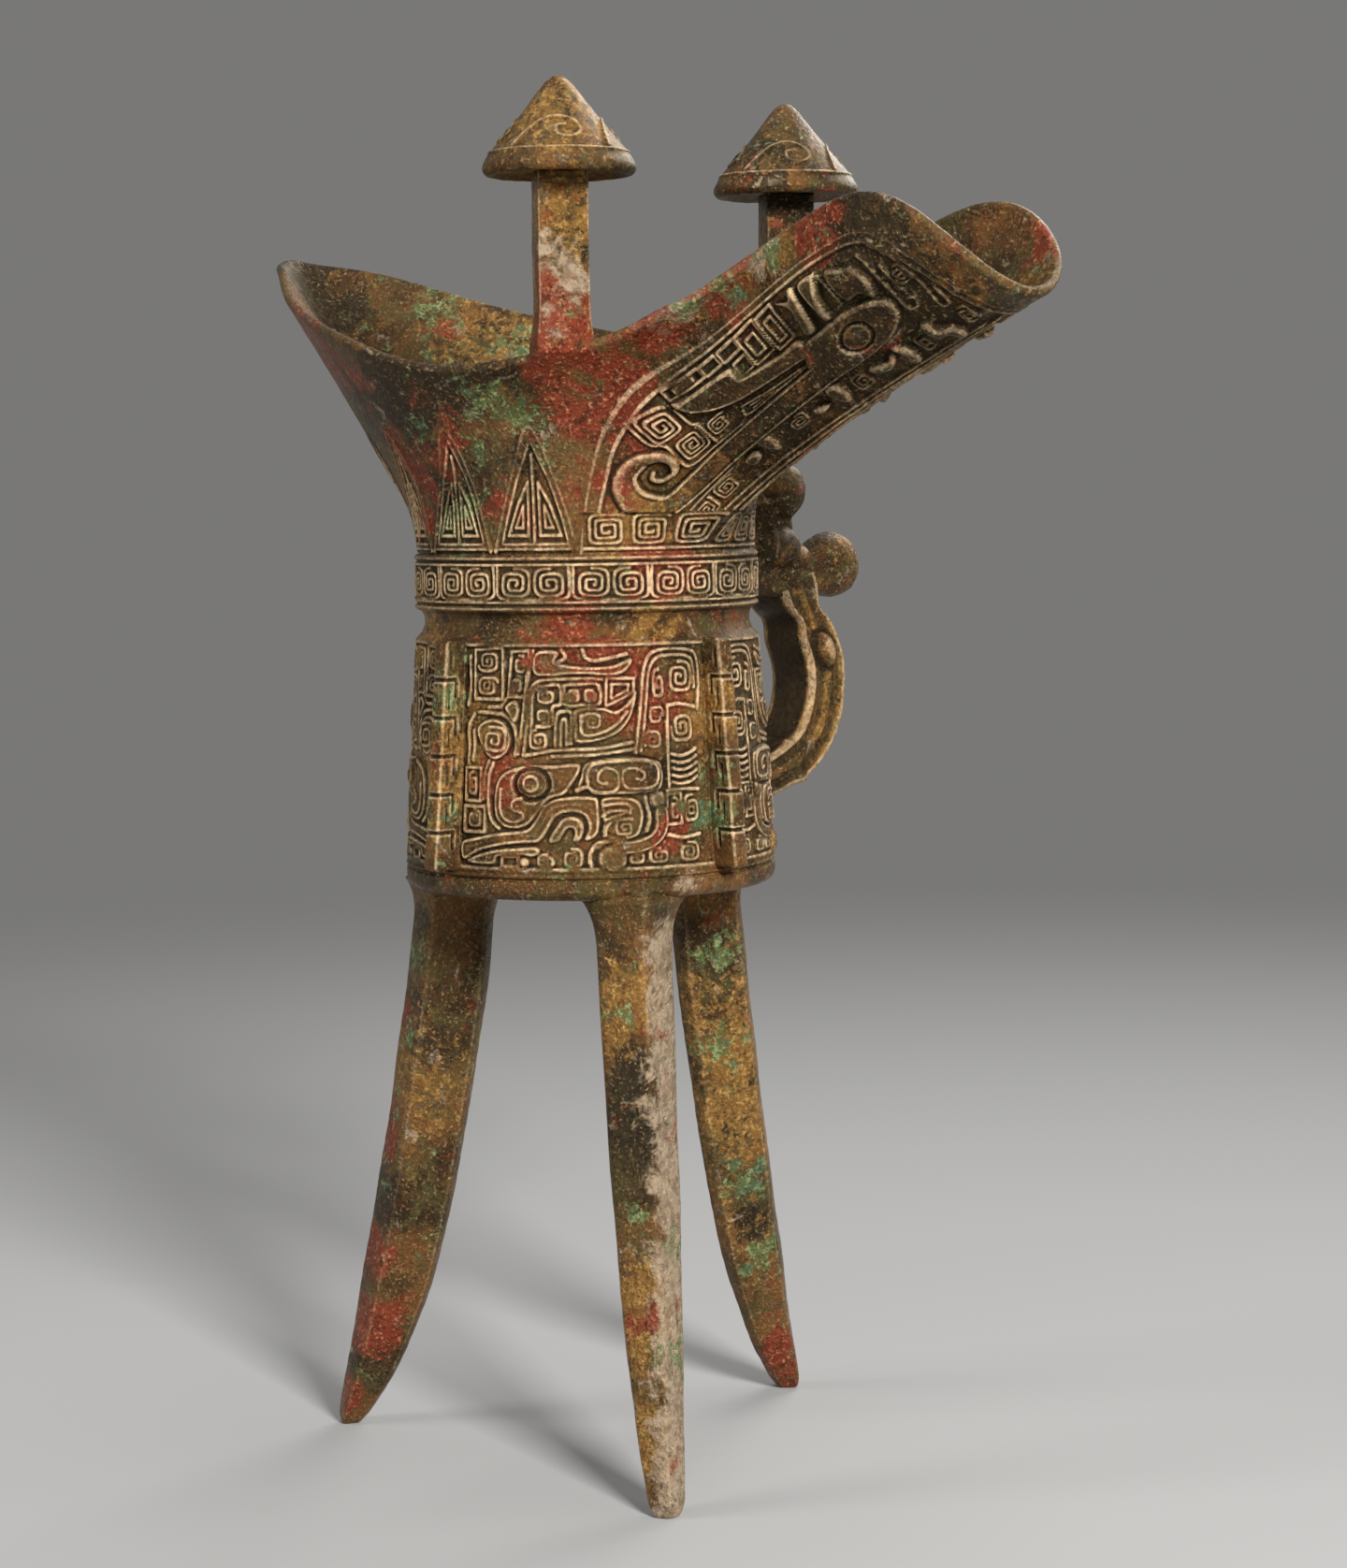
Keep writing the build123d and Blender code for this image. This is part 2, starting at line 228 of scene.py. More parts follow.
def ridge(sheet, line, width=0.5, height=thread):
    """Raised thread along a line."""
    for part, side in sides(sheet, line, width, (height - ground) / steepness):
        np.maximum(part, height - steepness * side, out=part)


def groove(sheet, line, width, depth, top=plateau):
    """Line cut into what is there, from a surface at the height top."""
    for part, side in sides(sheet, line, width, 2 * depth / steepness):
        np.minimum(part, top - depth + steepness * side, out=part)


def outside(x, y, line):
    """Signed distance of each cell from a closed outline, negative inside."""
    far = np.full(np.broadcast(x, y).shape, 1e9)
    inside = np.zeros(far.shape, bool)
    for start, end in zip(line, np.roll(line, -1, 0)):
        far = np.minimum(far, distance(x, y, start, end))
        if start[1] != end[1]:
            crosses = (start[1] > y) != (end[1] > y)
            inside ^= crosses & (x < (end[0] - start[0]) * (y - start[1]) / (end[1] - start[1]) + start[0])
    return np.where(inside, -far, far)


def sink_area(sheet, outline):
    """Ground sunk inside a closed outline."""
    line = np.array(outline, float)
    part, x, y = window(sheet, line, area_margin)
    np.minimum(part, ground + ground_slope * np.maximum(outside(x, y, line), 0), out=part)


def band_shape(sheet, points, width):
    """Broad raised band along a smooth line, with a fine cut inside each edge."""
    cut_inset = 0.45
    cut_width = 0.16
    cut_depth = 0.14
    line = curve(points)
    ridge(sheet, line, width, plateau)
    along = np.gradient(line, axis=0)
    normal = unit(np.stack([-along[:, 1], along[:, 0]], -1))
    for side in (-1, 1):
        groove(sheet, line + side * normal * (width / 2 - cut_inset), cut_width, cut_depth)


def draw(sheet, lines, width=0.5, height=thread):
    """Raised threads along several smooth lines."""
    for points in lines:
        ridge(sheet, curve(points, steps=5), width, height)


def frames(sheet, boxes, width=0.42, height=thread):
    """Raised threads round several boxes given by left, low, right and high."""
    for box in boxes:
        corners = box_line(*box)
        ridge(sheet, corners + corners[:1], width, height)


def spirals(sheet, rows, width=0.46, height=thread, square=0.6):
    """Raised square spirals given by middle, half width, half height, turns, start angle and way round."""
    for numbers in rows:
        ridge(sheet, spiral(*numbers, square), width, height)


def shapes(sheet, outlines):
    """Raised flat shapes inside several smooth closed outlines, each with a fine cut inside its edge."""
    cut_inset = 0.62
    cut_depth = 0.14
    for points in outlines:
        line = curve(points, closed=True, steps=5)[:-1]
        part, x, y = window(sheet, line, area_margin)
        off = outside(x, y, line)
        cut = cut_depth * smooth_step(np.abs(off + cut_inset), 0.3, 0.1)
        np.maximum(part, plateau - steepness * np.maximum(off, 0) - cut, out=part)


def rise(part, inset, height):
    """Lifts cells to a rounded edge; inset runs from 0 on the outline to 1 where the top is level."""
    level = ground + (height - ground) * np.sqrt(1 - (1 - inset) ** 2)
    np.maximum(part, np.where(inset > 0, level, part), out=part)


def dome(sheet, x0, y0, radius, height):
    """Rounded boss."""
    part, x, y = window(sheet, np.array([[x0, y0]]), radius)
    share = np.clip(1 - ((x - x0) ** 2 + (y - y0) ** 2) / radius ** 2, 0, 1)
    np.maximum(part, np.where(share > 0, ground + (height - ground) * np.sqrt(share), part), out=part)


def mounds(sheet, outlines, height, soft):
    """Raised shapes with rounded edges inside several smooth closed outlines."""
    for points in outlines:
        line = curve(points, closed=True, steps=5)[:-1]
        part, x, y = window(sheet, line, 0.2)
        rise(part, np.clip(-outside(x, y, line) / soft, 0, 1), height)


def swell(sheet, stations, height, soft):
    """Rounded band along a smooth line through points, each with the width of the band there."""
    rows = curve(stations, steps=6)
    for start, end in zip(rows[:-1], rows[1:]):
        half = (start[2] + end[2]) / 4
        part, x, y = window(sheet, np.array([start[:2], end[:2]]), half)
        if part.size:
            inset = (half - distance(x, y, start[:2], end[:2])) / min(soft, half)
            rise(part, np.clip(inset, 0, 1), height)


def blurred(values, reach):
    """Mean over a square of cells, for telling edges from flats."""
    result = values
    for direction in (0, 1):
        pad = [(0, 0), (0, 0)]
        pad[direction] = (reach + 1, reach)
        total = np.cumsum(np.pad(result, pad, mode="edge"), axis=direction)
        size = result.shape[direction]
        upper = np.take(total, np.arange(2 * reach + 1, 2 * reach + 1 + size), axis=direction)
        lower = np.take(total, np.arange(0, size), axis=direction)
        result = (upper - lower) / (2 * reach + 1)
    return result


def finish_drawing(sheet):
    """Adds the worn edges and dark grooves that the colours follow."""
    reach = 6
    gain = 1.9
    height = sheet["height"]
    sheet["wear_and_shade"] = np.clip(plain_worn + gain * (height - blurred(height, reach)), 0, 1)


def read(sheet, key, x, y):
    """Value of a drawing at points, straight-line between cells."""
    values = sheet[key]
    column = np.clip((x - sheet["left"]) / cell, 0, values.shape[1] - 1.001)
    row = np.clip((y - sheet["low"]) / cell, 0, values.shape[0] - 1.001)
    i, j = row.astype(int), column.astype(int)
    a, b = row - i, column - j
    return ((1 - a) * ((1 - b) * values[i, j] + b * values[i, j + 1])
            + a * ((1 - b) * values[i + 1, j] + b * values[i + 1, j + 1]))


def lumps(points, depth, size=1.0):
    """Gentle unevenness of a casting, about as high and low as depth."""
    x, y, z = (points[..., k] / size for k in range(3))
    wide = np.sin(0.61 * x + 0.43 * y + 1.3) * np.sin(0.57 * y - 0.37 * z) + np.sin(0.49 * z + 0.31 * x)
    fine = np.sin(1.9 * x + 1.1 * z) * np.sin(1.7 * y + 0.6 * x + 2.0) * np.sin(1.5 * z - 0.8 * y)
    return depth * (0.35 * wide + 0.4 * fine)


# Coloured patches, in millimetres about the axis: place of the middle, and radius. The grey ones are a
# painted sheen, and some dark ones are painted shade
patches = {
    "red": [
        (22, -28, 184, 10), (23, -27, 177, 9), (27, -22, 168, 12), (25, -18, 158, 8), (38, -20, 180, 9),
        (46, -17, 187, 8), (66, -14, 195, 8), (18, -22, 136, 10), (22, -19, 132, 8), (26, -12, 126, 9),
        (27, -8, 146, 8), (-42, -27, 181, 14), (-20, -37, 174, 9), (3, 40, 6, 10), (-35, -23, 18, 9),
        (-33, -22, 30, 8), (-37, -24, 6, 5), (33, -22, 30, 4), (86, 8, 196, 8), (22, 27, 188, 9),
        (-30, 18, 178, 8), (-6, -31, 160, 8), (0, -34, 166, 7), (-12, -31, 163, 8), (8, -29, 156, 6),
        (15, -26, 153, 6), (-28, -34, 178, 10), (-10, -29, 153, 7), (-30, -21, 52, 7), (-28, -20, 72, 5),
        (52, -17, 191, 6), (34, -20, 172, 7), (-20, 30, 164, 9), (-5, 31, 160, 8), (18, 24, 160, 8),
        (-26, 14, 130, 8), (-14, 26, 104, 7), (14, 27, 112, 7), (50, 14, 178, 8), (-36, -14, 24, 8),
        (-6, 38, 20, 8), (25, -28, 187, 6), (8, -27, 112, 7), (30, -10, 104, 5), (-28, 14, 120, 12),
        (-10, 28, 158, 11), (24, 26, 172, 10), (70, 10, 186, 9), (12, 28, 128, 9), (22, 25, 198, 6),
    ],
    "green": [
        (11, -31, 171, 7), (14, -30, 166, 5), (19, -26, 162, 5), (-2, -29, 152, 6), (33, -19, 161, 6),
        (31, -2, 106, 5), (31, -3, 113, 4), (18, -23, 99, 3), (-52, 13, 192, 8), (-38, 20, 184, 7),
        (-27, 24, 178, 6), (-24, -18, 80, 5), (-25, -18, 68, 4), (-28, -20, 56, 4), (-30, -21, 42, 3),
        (7, 22, 80, 5), (6, 25, 64, 5), (5, 30, 40, 6), (4, 34, 26, 6), (34, -14, 40, 4), (36, -17, 24, 5),
        (30, -20, 46, 3), (25, -17, 76, 3), (-60, 6, 196, 6), (-46, 8, 184, 7), (22, -22, 207, 6),
        (20, 22, 208, 6), (14, -29, 213, 5), (49, -17, 186, 5), (0, -31, 125, 5), (-1, -32, 108, 5),
        (0, 52, 128, 5), (88, 6, 190, 5), (-12, 27, 110, 6), (-24, -14, 150, 6), (10, 30, 156, 6),
        (6, -31, 163, 5), (-6, -33, 166, 5), (16, -28, 168, 6), (2, -29, 155, 5), (-14, -30, 158, 5),
        (10, -33, 172, 6), (56, -16, 192, 4), (42, -18, 184, 4), (38, -15, 158, 5), (-12, 31, 166, 6),
        (4, 30, 157, 5), (-28, 8, 112, 5), (-18, 24, 126, 5), (40, 17, 170, 6), (-34, -12, 50, 5),
        (-30, -10, 76, 5), (-5, 30, 58, 5), (-30, 22, 172, 6),
    ],
    "ochre": [
        (36, -23, 12, 9), (32, -21, 30, 12), (25, -17, 78, 10), (3, 38, 62, 36), (-36, -21, 64, 23),
        (22, -27, 201, 8), (22, -25, 212, 15), (22, 25, 210, 7), (-40, 14, 186, 16), (-12, -27, 136, 10),
        (88, 0, 192, 12), (0, 50, 124, 20), (1, -31, 116, 16), (30, -2, 124, 8), (26, -10, 136, 6),
        (26, -12, 151, 9), (30, 20, 98, 10), (50, -18, 189, 6), (42, -19, 184, 6), (58, -16, 193, 7),
        (3, 61, 147, 6), (26, -29, 197, 9),
    ],
    "dark_and_shade": [
        # On the underside of the spout, (64, -12, 172), (78, -9, 180) and (50, -8, 160) are painted shade, as
        # are (4, 40, 151) and (4, 36, 147) in the hollows of the handle head
        (-4, -37, 172, 13), (-24, -33, 170, 12), (12, -33, 176, 7), (64, -12, 172, 16), (78, -9, 180, 16),
        (74, -13, 194, 11), (50, -8, 160, 16), (-70, 0, 194, 10), (2, -33, 118, 4), (26, -26, 194, 4),
        (35, 14, 150, 16), (60, 12, 176, 18), (-20, -26, 92, 7), (-30, -21, 40, 6), (-36, -23, 13, 4),
        (-23, -17, 87, 5), (6, 27, 50, 4), (5, 31, 32, 4), (28, -18, 58, 8), (27, -18, 67, 6),
        (24, 22, 206, 9), (-66, 0, 190, 9), (40, -15, 158, 8), (54, -13, 166, 9), (47, -14, 162, 8),
        (4, 40, 151, 8), (4, 36, 147, 6), (-2, -31, 158, 7), (14, -29, 162, 6), (6, -35, 174, 8),
        (-14, -34, 170, 7),
    ],
    "painted_sheen": [
        # All of these are a painted grey-lilac sheen where light glances off the surface
        (34, -8, 97, 6), (19, -30, 190, 4), (20, -30, 183, 4), (29, -33, 189, 11), (46, -19, 188, 6),
        (39, -20, 184, 5), (54, -18, 192, 5),
    ],
}

# Painted grey sheen down the lit right face of the front leg, whose middle line is a curve over the height
sheen_x = (0.00053, -0.205, 40.9)
sheen_y = (-0.0007, 0.19, -20.8)
sheen_radius = 6.5
for z in range(2, 92, 6):
    patches["painted_sheen"].append((np.polyval(sheen_x, z), np.polyval(sheen_y, z), z, sheen_radius))


def patch(points, spots):
    """Weight of a set of patches at points: 1 in the core of a patch, 0 past its end."""
    core = 0.25
    end = 1.25
    weight = np.zeros(points.shape[:-1])
    for *middle, radius in spots:
        far = np.linalg.norm(points - np.array(middle, float), axis=-1)
        weight = np.maximum(weight, 1 - smooth_step(far, core * radius, end * radius))
    return weight


def colour(red, green, blue):
    """Linear colour from screen values of 0 to 255."""
    values = (red, green, blue)
    linear = [((v / 255 + 0.055) / 1.055) ** 2.4 if v > 10 else v / 3295 for v in values]
    return (*linear, 1.0)


def connect(tree, source, socket):
    """Links a socket to a source, or sets its value where the source is a number or a colour."""
    if isinstance(source, bpy.types.NodeSocket):
        tree.links.new(source, socket)
    else:
        socket.default_value = source


def add_node(tree, kind, inputs=None, **settings):
    """New node with its settings, and a source for each input given by name or number."""
    node = tree.nodes.new(kind)
    for name, value in settings.items():
        setattr(node, name, value)
    for key, source in (inputs or {}).items():
        connect(tree, source, node.inputs[key])
    return node


def add_object(name, data):
    """New object in the scene."""
    thing = bpy.data.objects.new(name, data)
    bpy.context.scene.collection.objects.link(thing)
    return thing


class Patina:
    """Node material of aged bronze, driven by noise and by the marks stored on the mesh."""

    def __init__(self, name):
        self.material = bpy.data.materials.new(name)
        self.material.use_nodes = True
        self.tree = self.material.node_tree
        self.coordinates = add_node(self.tree, "ShaderNodeTexCoord").outputs["Object"]
        self.base = None

    def noise(self, size_mm, detail, rough, distortion):
        """Noise whose features have about a size."""
        inputs = {"Vector": self.coordinates, "Scale": 1000 / size_mm, "Detail": detail, "Roughness": rough,
                  "Distortion": distortion}
        return add_node(self.tree, "ShaderNodeTexNoise", inputs).outputs["Fac"]

    def mark(self, name):
        """Value stored on the mesh."""
        return add_node(self.tree, "ShaderNodeAttribute", attribute_name=name).outputs["Fac"]

    def sum(self, a, b, share):
        """a and a share of b."""
        inputs = {0: b, 1: share, 2: a}
        return add_node(self.tree, "ShaderNodeMath", inputs, operation="MULTIPLY_ADD").outputs[0]

    def product(self, a, b):
        """a times b."""
        return add_node(self.tree, "ShaderNodeMath", {0: a, 1: b}, operation="MULTIPLY").outputs[0]

    def step(self, source, low, high, first=0.0, last=1.0):
        """Soft change from first to last between two levels of a source."""
        inputs = {"Value": source, "From Min": low, "From Max": high, "To Min": first, "To Max": last}
        node = add_node(self.tree, "ShaderNodeMapRange", inputs, interpolation_type="SMOOTHSTEP")
        return node.outputs["Result"]

    def mix(self, share, under, over):
        """One colour over another."""
        inputs = {0: share, 6: under, 7: over}
        return add_node(self.tree, "ShaderNodeMix", inputs, data_type="RGBA").outputs[2]

    def coat(self, source, low, high, strength, tint, *flecks):
        """Lays a colour over the base between two levels of a source, with flecks of other colours in it."""
        share = self.step(source, low, high, 0.0, strength)
        self.base = self.mix(share, self.base, colour(*tint))
        for noise, fleck_low, fleck_high, fleck_strength, fleck_tint in flecks:
            within = self.product(share, self.step(noise, fleck_low, fleck_high, 0.0, fleck_strength))
            self.base = self.mix(within, self.base, colour(*fleck_tint))

    def build(self):
        """Puts the coats together and gives the material."""
        wide = self.noise(16, 8, 0.62, 0.5)
        middle = self.noise(6.5, 9, 0.66, 0.6)
        other = self.noise(7.6, 9, 0.7, 0.8)
        third = self.noise(4.0, 9, 0.7, 0.7)
        speckle = self.noise(1.7, 8, 0.72, 0.4)
        fleck = self.noise(2.6, 8, 0.76, 0.5)
        small = self.noise(1.1, 6, 0.7, 0.2)
        grain = self.noise(0.55, 3, 0.6, 0.0)
        wear_and_shade = self.mark("wear_and_shade")
        dark_and_shade = self.mark("dark_and_shade")

        # Brown ground, then one coat over another
        self.base = self.mix(self.step(wide, 0.40, 0.60), colour(42, 28, 16), colour(100, 66, 34))
        self.coat(middle, 0.46, 0.60, 0.60, (72, 66, 36))
        # Dark patches: patina, and painted shade where the dark mark lies on shaded parts
        self.coat(self.sum(third, dark_and_shade, 0.22), 0.56, 0.63, 0.88, (22, 18, 13))
        dust = self.sum(self.sum(speckle, wide, 0.35), self.mark("ochre"), 0.20)
        self.coat(dust, 0.76, 0.89, 0.82, (126, 90, 42), (small, 0.50, 0.64, 0.8, (184, 144, 80)))
        # Painted grey-lilac sheen over the marked places
        painted_sheen = self.sum(third, self.mark("painted_sheen"), 0.29)
        self.coat(painted_sheen, 0.58, 0.71, 0.78, (134, 115, 94), (speckle, 0.42, 0.56, 1.0, (166, 146, 122)))
        red = self.sum(other, self.mark("red"), 0.21)
        self.coat(red, 0.58, 0.70, 0.88, (120, 42, 27), (speckle, 0.50, 0.60, 1.0, (64, 23, 15)),
                  (small, 0.56, 0.65, 1.0, (176, 112, 84)))
        green = self.sum(fleck, self.mark("green"), 0.15)
        self.coat(green, 0.59, 0.66, 0.85, (80, 96, 56), (small, 0.50, 0.60, 1.0, (134, 152, 104)),
                  (middle, 0.50, 0.58, 0.7, (44, 82, 66)))
        self.coat(grain, 0.57, 0.70, 0.42, (190, 158, 108))
        self.coat(grain, 0.44, 0.32, 0.55, (22, 16, 10))
        # Near black where the mark is low: dark patina in the grooves, and painted shade on the inner face of
        # the handle strap
        self.coat(wear_and_shade, 0.48, 0.12, 0.93, (18, 14, 10))

        # Bare metal on worn edges, less of it in the dark patches, some of which are painted shade
        bare = self.product(self.step(wear_and_shade, 0.55, 0.82), self.step(small, 0.36, 0.58, 0.3, 0.95))
        bare = self.product(bare, self.step(other, 0.40, 0.58, 0.55, 1.0))
        bare = self.product(bare, self.step(dark_and_shade, 0.1, 0.8, 1.0, 0.3))
        self.base = self.mix(bare, self.base, colour(222, 191, 150))
        height = self.sum(self.sum(speckle, grain, 0.4), small, 0.8)
        bump = add_node(self.tree, "ShaderNodeBump", {"Strength": 0.9, "Distance": 0.0006, "Height": height})
        surface = {
            "Base Color": self.base,
            "Roughness": self.step(middle, 0.36, 0.64, 0.18, 0.36),
            "Metallic": 0.2,
            "Specular IOR Level": 0.42,
            "Specular Tint": colour(255, 222, 168),
            "Normal": bump.outputs["Normal"],
        }
        for name, source in surface.items():
            connect(self.tree, source, self.tree.nodes["Principled BSDF"].inputs[name])
        return self.material


bronze = Patina("aged_bronze").build()


def finish_piece(piece, points, wear_and_shade, *nodes):
    """Marks, material, body and CAD nodes of one piece. points are in millimetres about the axis."""
    marks = {"wear_and_shade": wear_and_shade}
    for name, spots in patches.items():
        marks[name] = patch(points, spots)
    for name, values in marks.items():
        data = piece.data.attributes.new(name, "FLOAT", "POINT").data
        data.foreach_set("value", np.broadcast_to(values, points.shape[:-1]).astype(np.float32).ravel())
    piece.data.materials.append(bronze)
    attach(piece, "root")
    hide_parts(*nodes)
    return piece


def mesh_piece(name, points, faces):
    """New smooth mesh object from points in millimetres and four-sided faces."""
    mesh = bpy.data.meshes.new(name)
    mesh.vertices.add(len(points))
    mesh.vertices.foreach_set("co", place(points).astype(np.float32).ravel())
    mesh.loops.add(faces.size)
    mesh.loops.foreach_set("vertex_index", faces.astype(np.int32).ravel())
    mesh.polygons.add(len(faces))
    mesh.polygons.foreach_set("loop_start", np.arange(0, faces.size, 4, dtype=np.int32))
    mesh.polygons.foreach_set("use_smooth", np.ones(len(faces), bool))
    mesh.update(calc_edges=True)
    return add_object(name, mesh)


def quads(rows, columns, closed):
    """Four-sided faces of a grid of points; closed joins the last column to the first."""
    index = np.arange(rows * columns).reshape(rows, columns)
    if closed:
        index = np.column_stack([index, index[:, 0]])
    return np.stack([index[:-1, :-1], index[:-1, 1:], index[1:, 1:], index[1:, :-1]], -1).reshape(-1, 4)


def grid_piece(name, points, wear_and_shade, *nodes, closed=False):
    """Piece whose points are a grid of rows and columns; closed joins the last column to the first."""
    rows, columns = points.shape[:2]
    flat = points.reshape(-1, 3)
    piece = mesh_piece(name, flat, quads(rows, columns, closed))
    return finish_piece(piece, flat, np.broadcast_to(wear_and_shade, (rows, columns)).ravel(), *nodes)


def capped(grid):
    """Closes both ends of a tube of rows with a row drawn in to its middle."""
    first = np.broadcast_to(grid[:1].mean(axis=1, keepdims=True), grid[:1].shape)
    last = np.broadcast_to(grid[-1:].mean(axis=1, keepdims=True), grid[-1:].shape)
    return np.concatenate([first, grid, last])


def tube_piece(name, grid, wear_and_shade, *nodes):
    """Piece that is a tube of rows with both ends closed."""
    marks = np.broadcast_to(wear_and_shade, grid.shape[:2])
    marks = np.concatenate([marks[:1], marks, marks[-1:]])
    return grid_piece(name, capped(grid), marks, *nodes, closed=True)


def normals(points):
    """Unit normals of a grid of points whose last column joins the first."""
    across = (np.roll(points, -1, 1) - np.roll(points, 1, 1)) / 2
    upward = np.gradient(points, axis=0)
    return unit(np.cross(across, upward))


# Neck band: pairs of rounded spirals in one frame, between fine border lines
band_pairs = 14
band_turn = 3.4
pair_width = 2 * math.pi * band_radius / band_pairs
overlap = 5
band_sheet = drawing(0, pair_width, 0, band_top - band_bottom)
sink_area(band_sheet, box_line(-overlap, 1.0, pair_width + overlap, 7.9))
for level, width in ((0.35, 0.5), (8.4, 0.5), (7.35, 0.35), (1.5, 0.35)):
    ridge(band_sheet, [(-overlap, level), (pair_width + overlap, level)], width)
for side in (-1, 1):
    ridge(band_sheet, spiral(pair_width / 2 + side * 2.95, 4.45, 2.75, 2.35, 2.4, 90, side), 0.46)
pair_frame = [(0.35, 7.0), (0.3, 4.4), (0.9, 2.2), (6.2, 1.95), (11.6, 2.2), (12.2, 4.4), (12.1, 7.0)]
ridge(band_sheet, curve(pair_frame), 0.4)
finish_drawing(band_sheet)

# Quarter of the lower vessel: half a mask, from the middle of its nose at the left to the next flange
mask_left = 1.8
mask_right = 43.4
mask = drawing(0, 45, 0, panel_top - panel_bottom)
sink_area(mask, box_line(mask_left, 0.9, mask_right, 35.2))
for level in (0.55, 35.45):
    ridge(mask, [(mask_left, level), (mask_right, level)])

# Jaw, fang, eye, volutes, crest, horn and boss of the mask
shapes(mask, [
    [(2.3, 4.4), (5, 5.2), (8.5, 6), (12, 6.4), (14, 6.9), (15.3, 8.6), (16.3, 10.3), (17.8, 11.4),
     (20, 11.8), (23.6, 11.8), (24.6, 11.1), (24.7, 7.2), (24, 5.8), (22.7, 5.3), (23.3, 7), (22.9, 8.7),
     (21.5, 9.6), (19.3, 9.5), (18, 8.7), (17, 7.1), (16, 5.5), (15, 4.9), (12, 4.7), (9, 4.2), (5.5, 3.3),
     (2.6, 1.9)],
    [(17.2, 5.1), (18.3, 7.1), (19.4, 8.4), (20.9, 8.7), (22.1, 8), (22.3, 6.5), (21.6, 5.2), (21, 5.2),
     (21.2, 6.4), (20.8, 7.1), (20, 7.1), (19.3, 6.3), (18.5, 5.1)],
    [(3.4, 1.5), (5.8, 2.7), (9, 3.5), (12.4, 3.8), (15, 4.0), (15.6, 3.2), (14.4, 2.7), (12.6, 2.9),
     (9, 2.6), (8, 1.3)],
    [(22, 16.7), (18, 16.7), (14.5, 16.6), (11.2, 16.1), (9.1, 14.7), (8.4, 12.5), (8.4, 9.6), (8.9, 8.2),
     (10.2, 7.2), (12.5, 7.1), (14, 7.8), (15.3, 9.3), (16.3, 10.7), (17.6, 11.8), (19.2, 12.3),
     (20.2, 13.3)],
    [(21.7, 13.2), (23.4, 13.1), (24.2, 12.3), (29, 12.3), (33.6, 12.6), (34.7, 13.8), (34.6, 16.4),
     (33.4, 17.3), (29, 17.9), (25, 17.6), (22.8, 16.8), (22.2, 15)],
    [(14.7, 32.9), (15.6, 34.4), (18.6, 34.3), (18.2, 32.7), (22, 32.0), (27, 32.0), (30.2, 33.1),
     (29.8, 31.8), (27.6, 30.7), (22, 31.0), (15.4, 30.8)],
    [(21.4, 25.3), (21.3, 22.8), (21.5, 20.5), (25, 20.7), (28, 21.9), (30, 24.3), (31, 28), (29.6, 26.2),
     (27.6, 25.0), (25.6, 25.6)],
    [(25.4, 11.5), (28.6, 11.6), (30.6, 11.1), (31.4, 9.6), (31.3, 7.6), (30.6, 5.9), (28.8, 5.2),
     (26.6, 5.3), (25.3, 6.2), (25.6, 7.8), (26.8, 8.6), (25.4, 9.4)],
    [(10.0, 25.8), (11.5, 26.7), (12.3, 25.4), (11.6, 23.6), (10.8, 24.4)],
    [(4.9, 21.6), (5.4, 23.0), (7.6, 23.8), (9.8, 23.1), (10.8, 21.0), (10.2, 18.9), (8.2, 17.7),
     (6.6, 18.6)],
])
band_shape(mask, [(27.6, 3.9), (30.5, 4.0), (33, 4.9), (34.4, 6.6), (34.5, 9.2)], 1.8)
groove(mask, oval(14.5, 13.9, 2.75, 2.5), 0.5, 0.45)
dome(mask, 14.5, 13.9, 2.3, 0.8)
ridge(mask, oval(14.5, 14.0, 1.1, 1.1), 0.32, 0.9)
dome(mask, 34.0, 11.2, 1.5, 0.5)
dome(mask, 26.7, 2.2, 2.3, 0.75)
dome(mask, 13.3, 1.7, 0.9, 0.4)

# Threads on the raised shapes
draw(mask, [
    [(9.4, 13), (9.4, 10), (10.1, 8.5), (11.5, 8.0), (12.9, 8.4), (13.2, 9.2), (12.4, 9.6), (11.6, 9.9),
     (11.3, 10.7), (11.9, 11.4), (12.8, 11.6)],
    [(21.5, 12.9), (23, 13.5), (24, 12.8), (25.5, 12.5), (27, 12.7), (27.8, 13.6), (27.8, 15.2), (27, 16.1),
     (25.8, 16.3), (24.9, 15.6), (24.7, 14.6), (25.2, 14), (26.1, 14)],
    [(23.2, 13.8), (23.1, 15.4), (23.9, 16.8), (26, 17.2), (30, 17.4), (32.6, 17.2), (33.9, 16.2),
     (34, 14.4), (33.2, 13.3), (30.6, 13), (29, 13.3), (28.4, 14.4), (28.7, 15.9), (30.4, 16.2),
     (31.8, 15.4), (31.5, 14.4), (30.6, 14.6)],
    [(25.4, 8.9), (26.5, 9.6), (28.9, 9.6), (27.8, 9.0), (25.7, 8.3)],
    [(25.6, 10.6), (28.6, 10.8), (29.5, 10.1), (29.4, 9.2)],
    [(25.6, 5.9), (25.8, 7), (26.7, 8), (28, 8.3), (29.7, 8.3)],
    [(22.3, 24.6), (22.5, 21.6), (25, 21.7), (27.5, 22.9), (29.4, 25)],
], 0.42, plateau + 0.25)
spirals(mask, [
    (28.6, 7.0, 1.5, 1.3, 1.6, 90, 1),
    (24.0, 23.6, 1.4, 1.3, 1.9, 180, -1),
    (8.1, 20.6, 2.3, 2.1, 1.8, 100, -1),
], 0.42, plateau + 0.25)

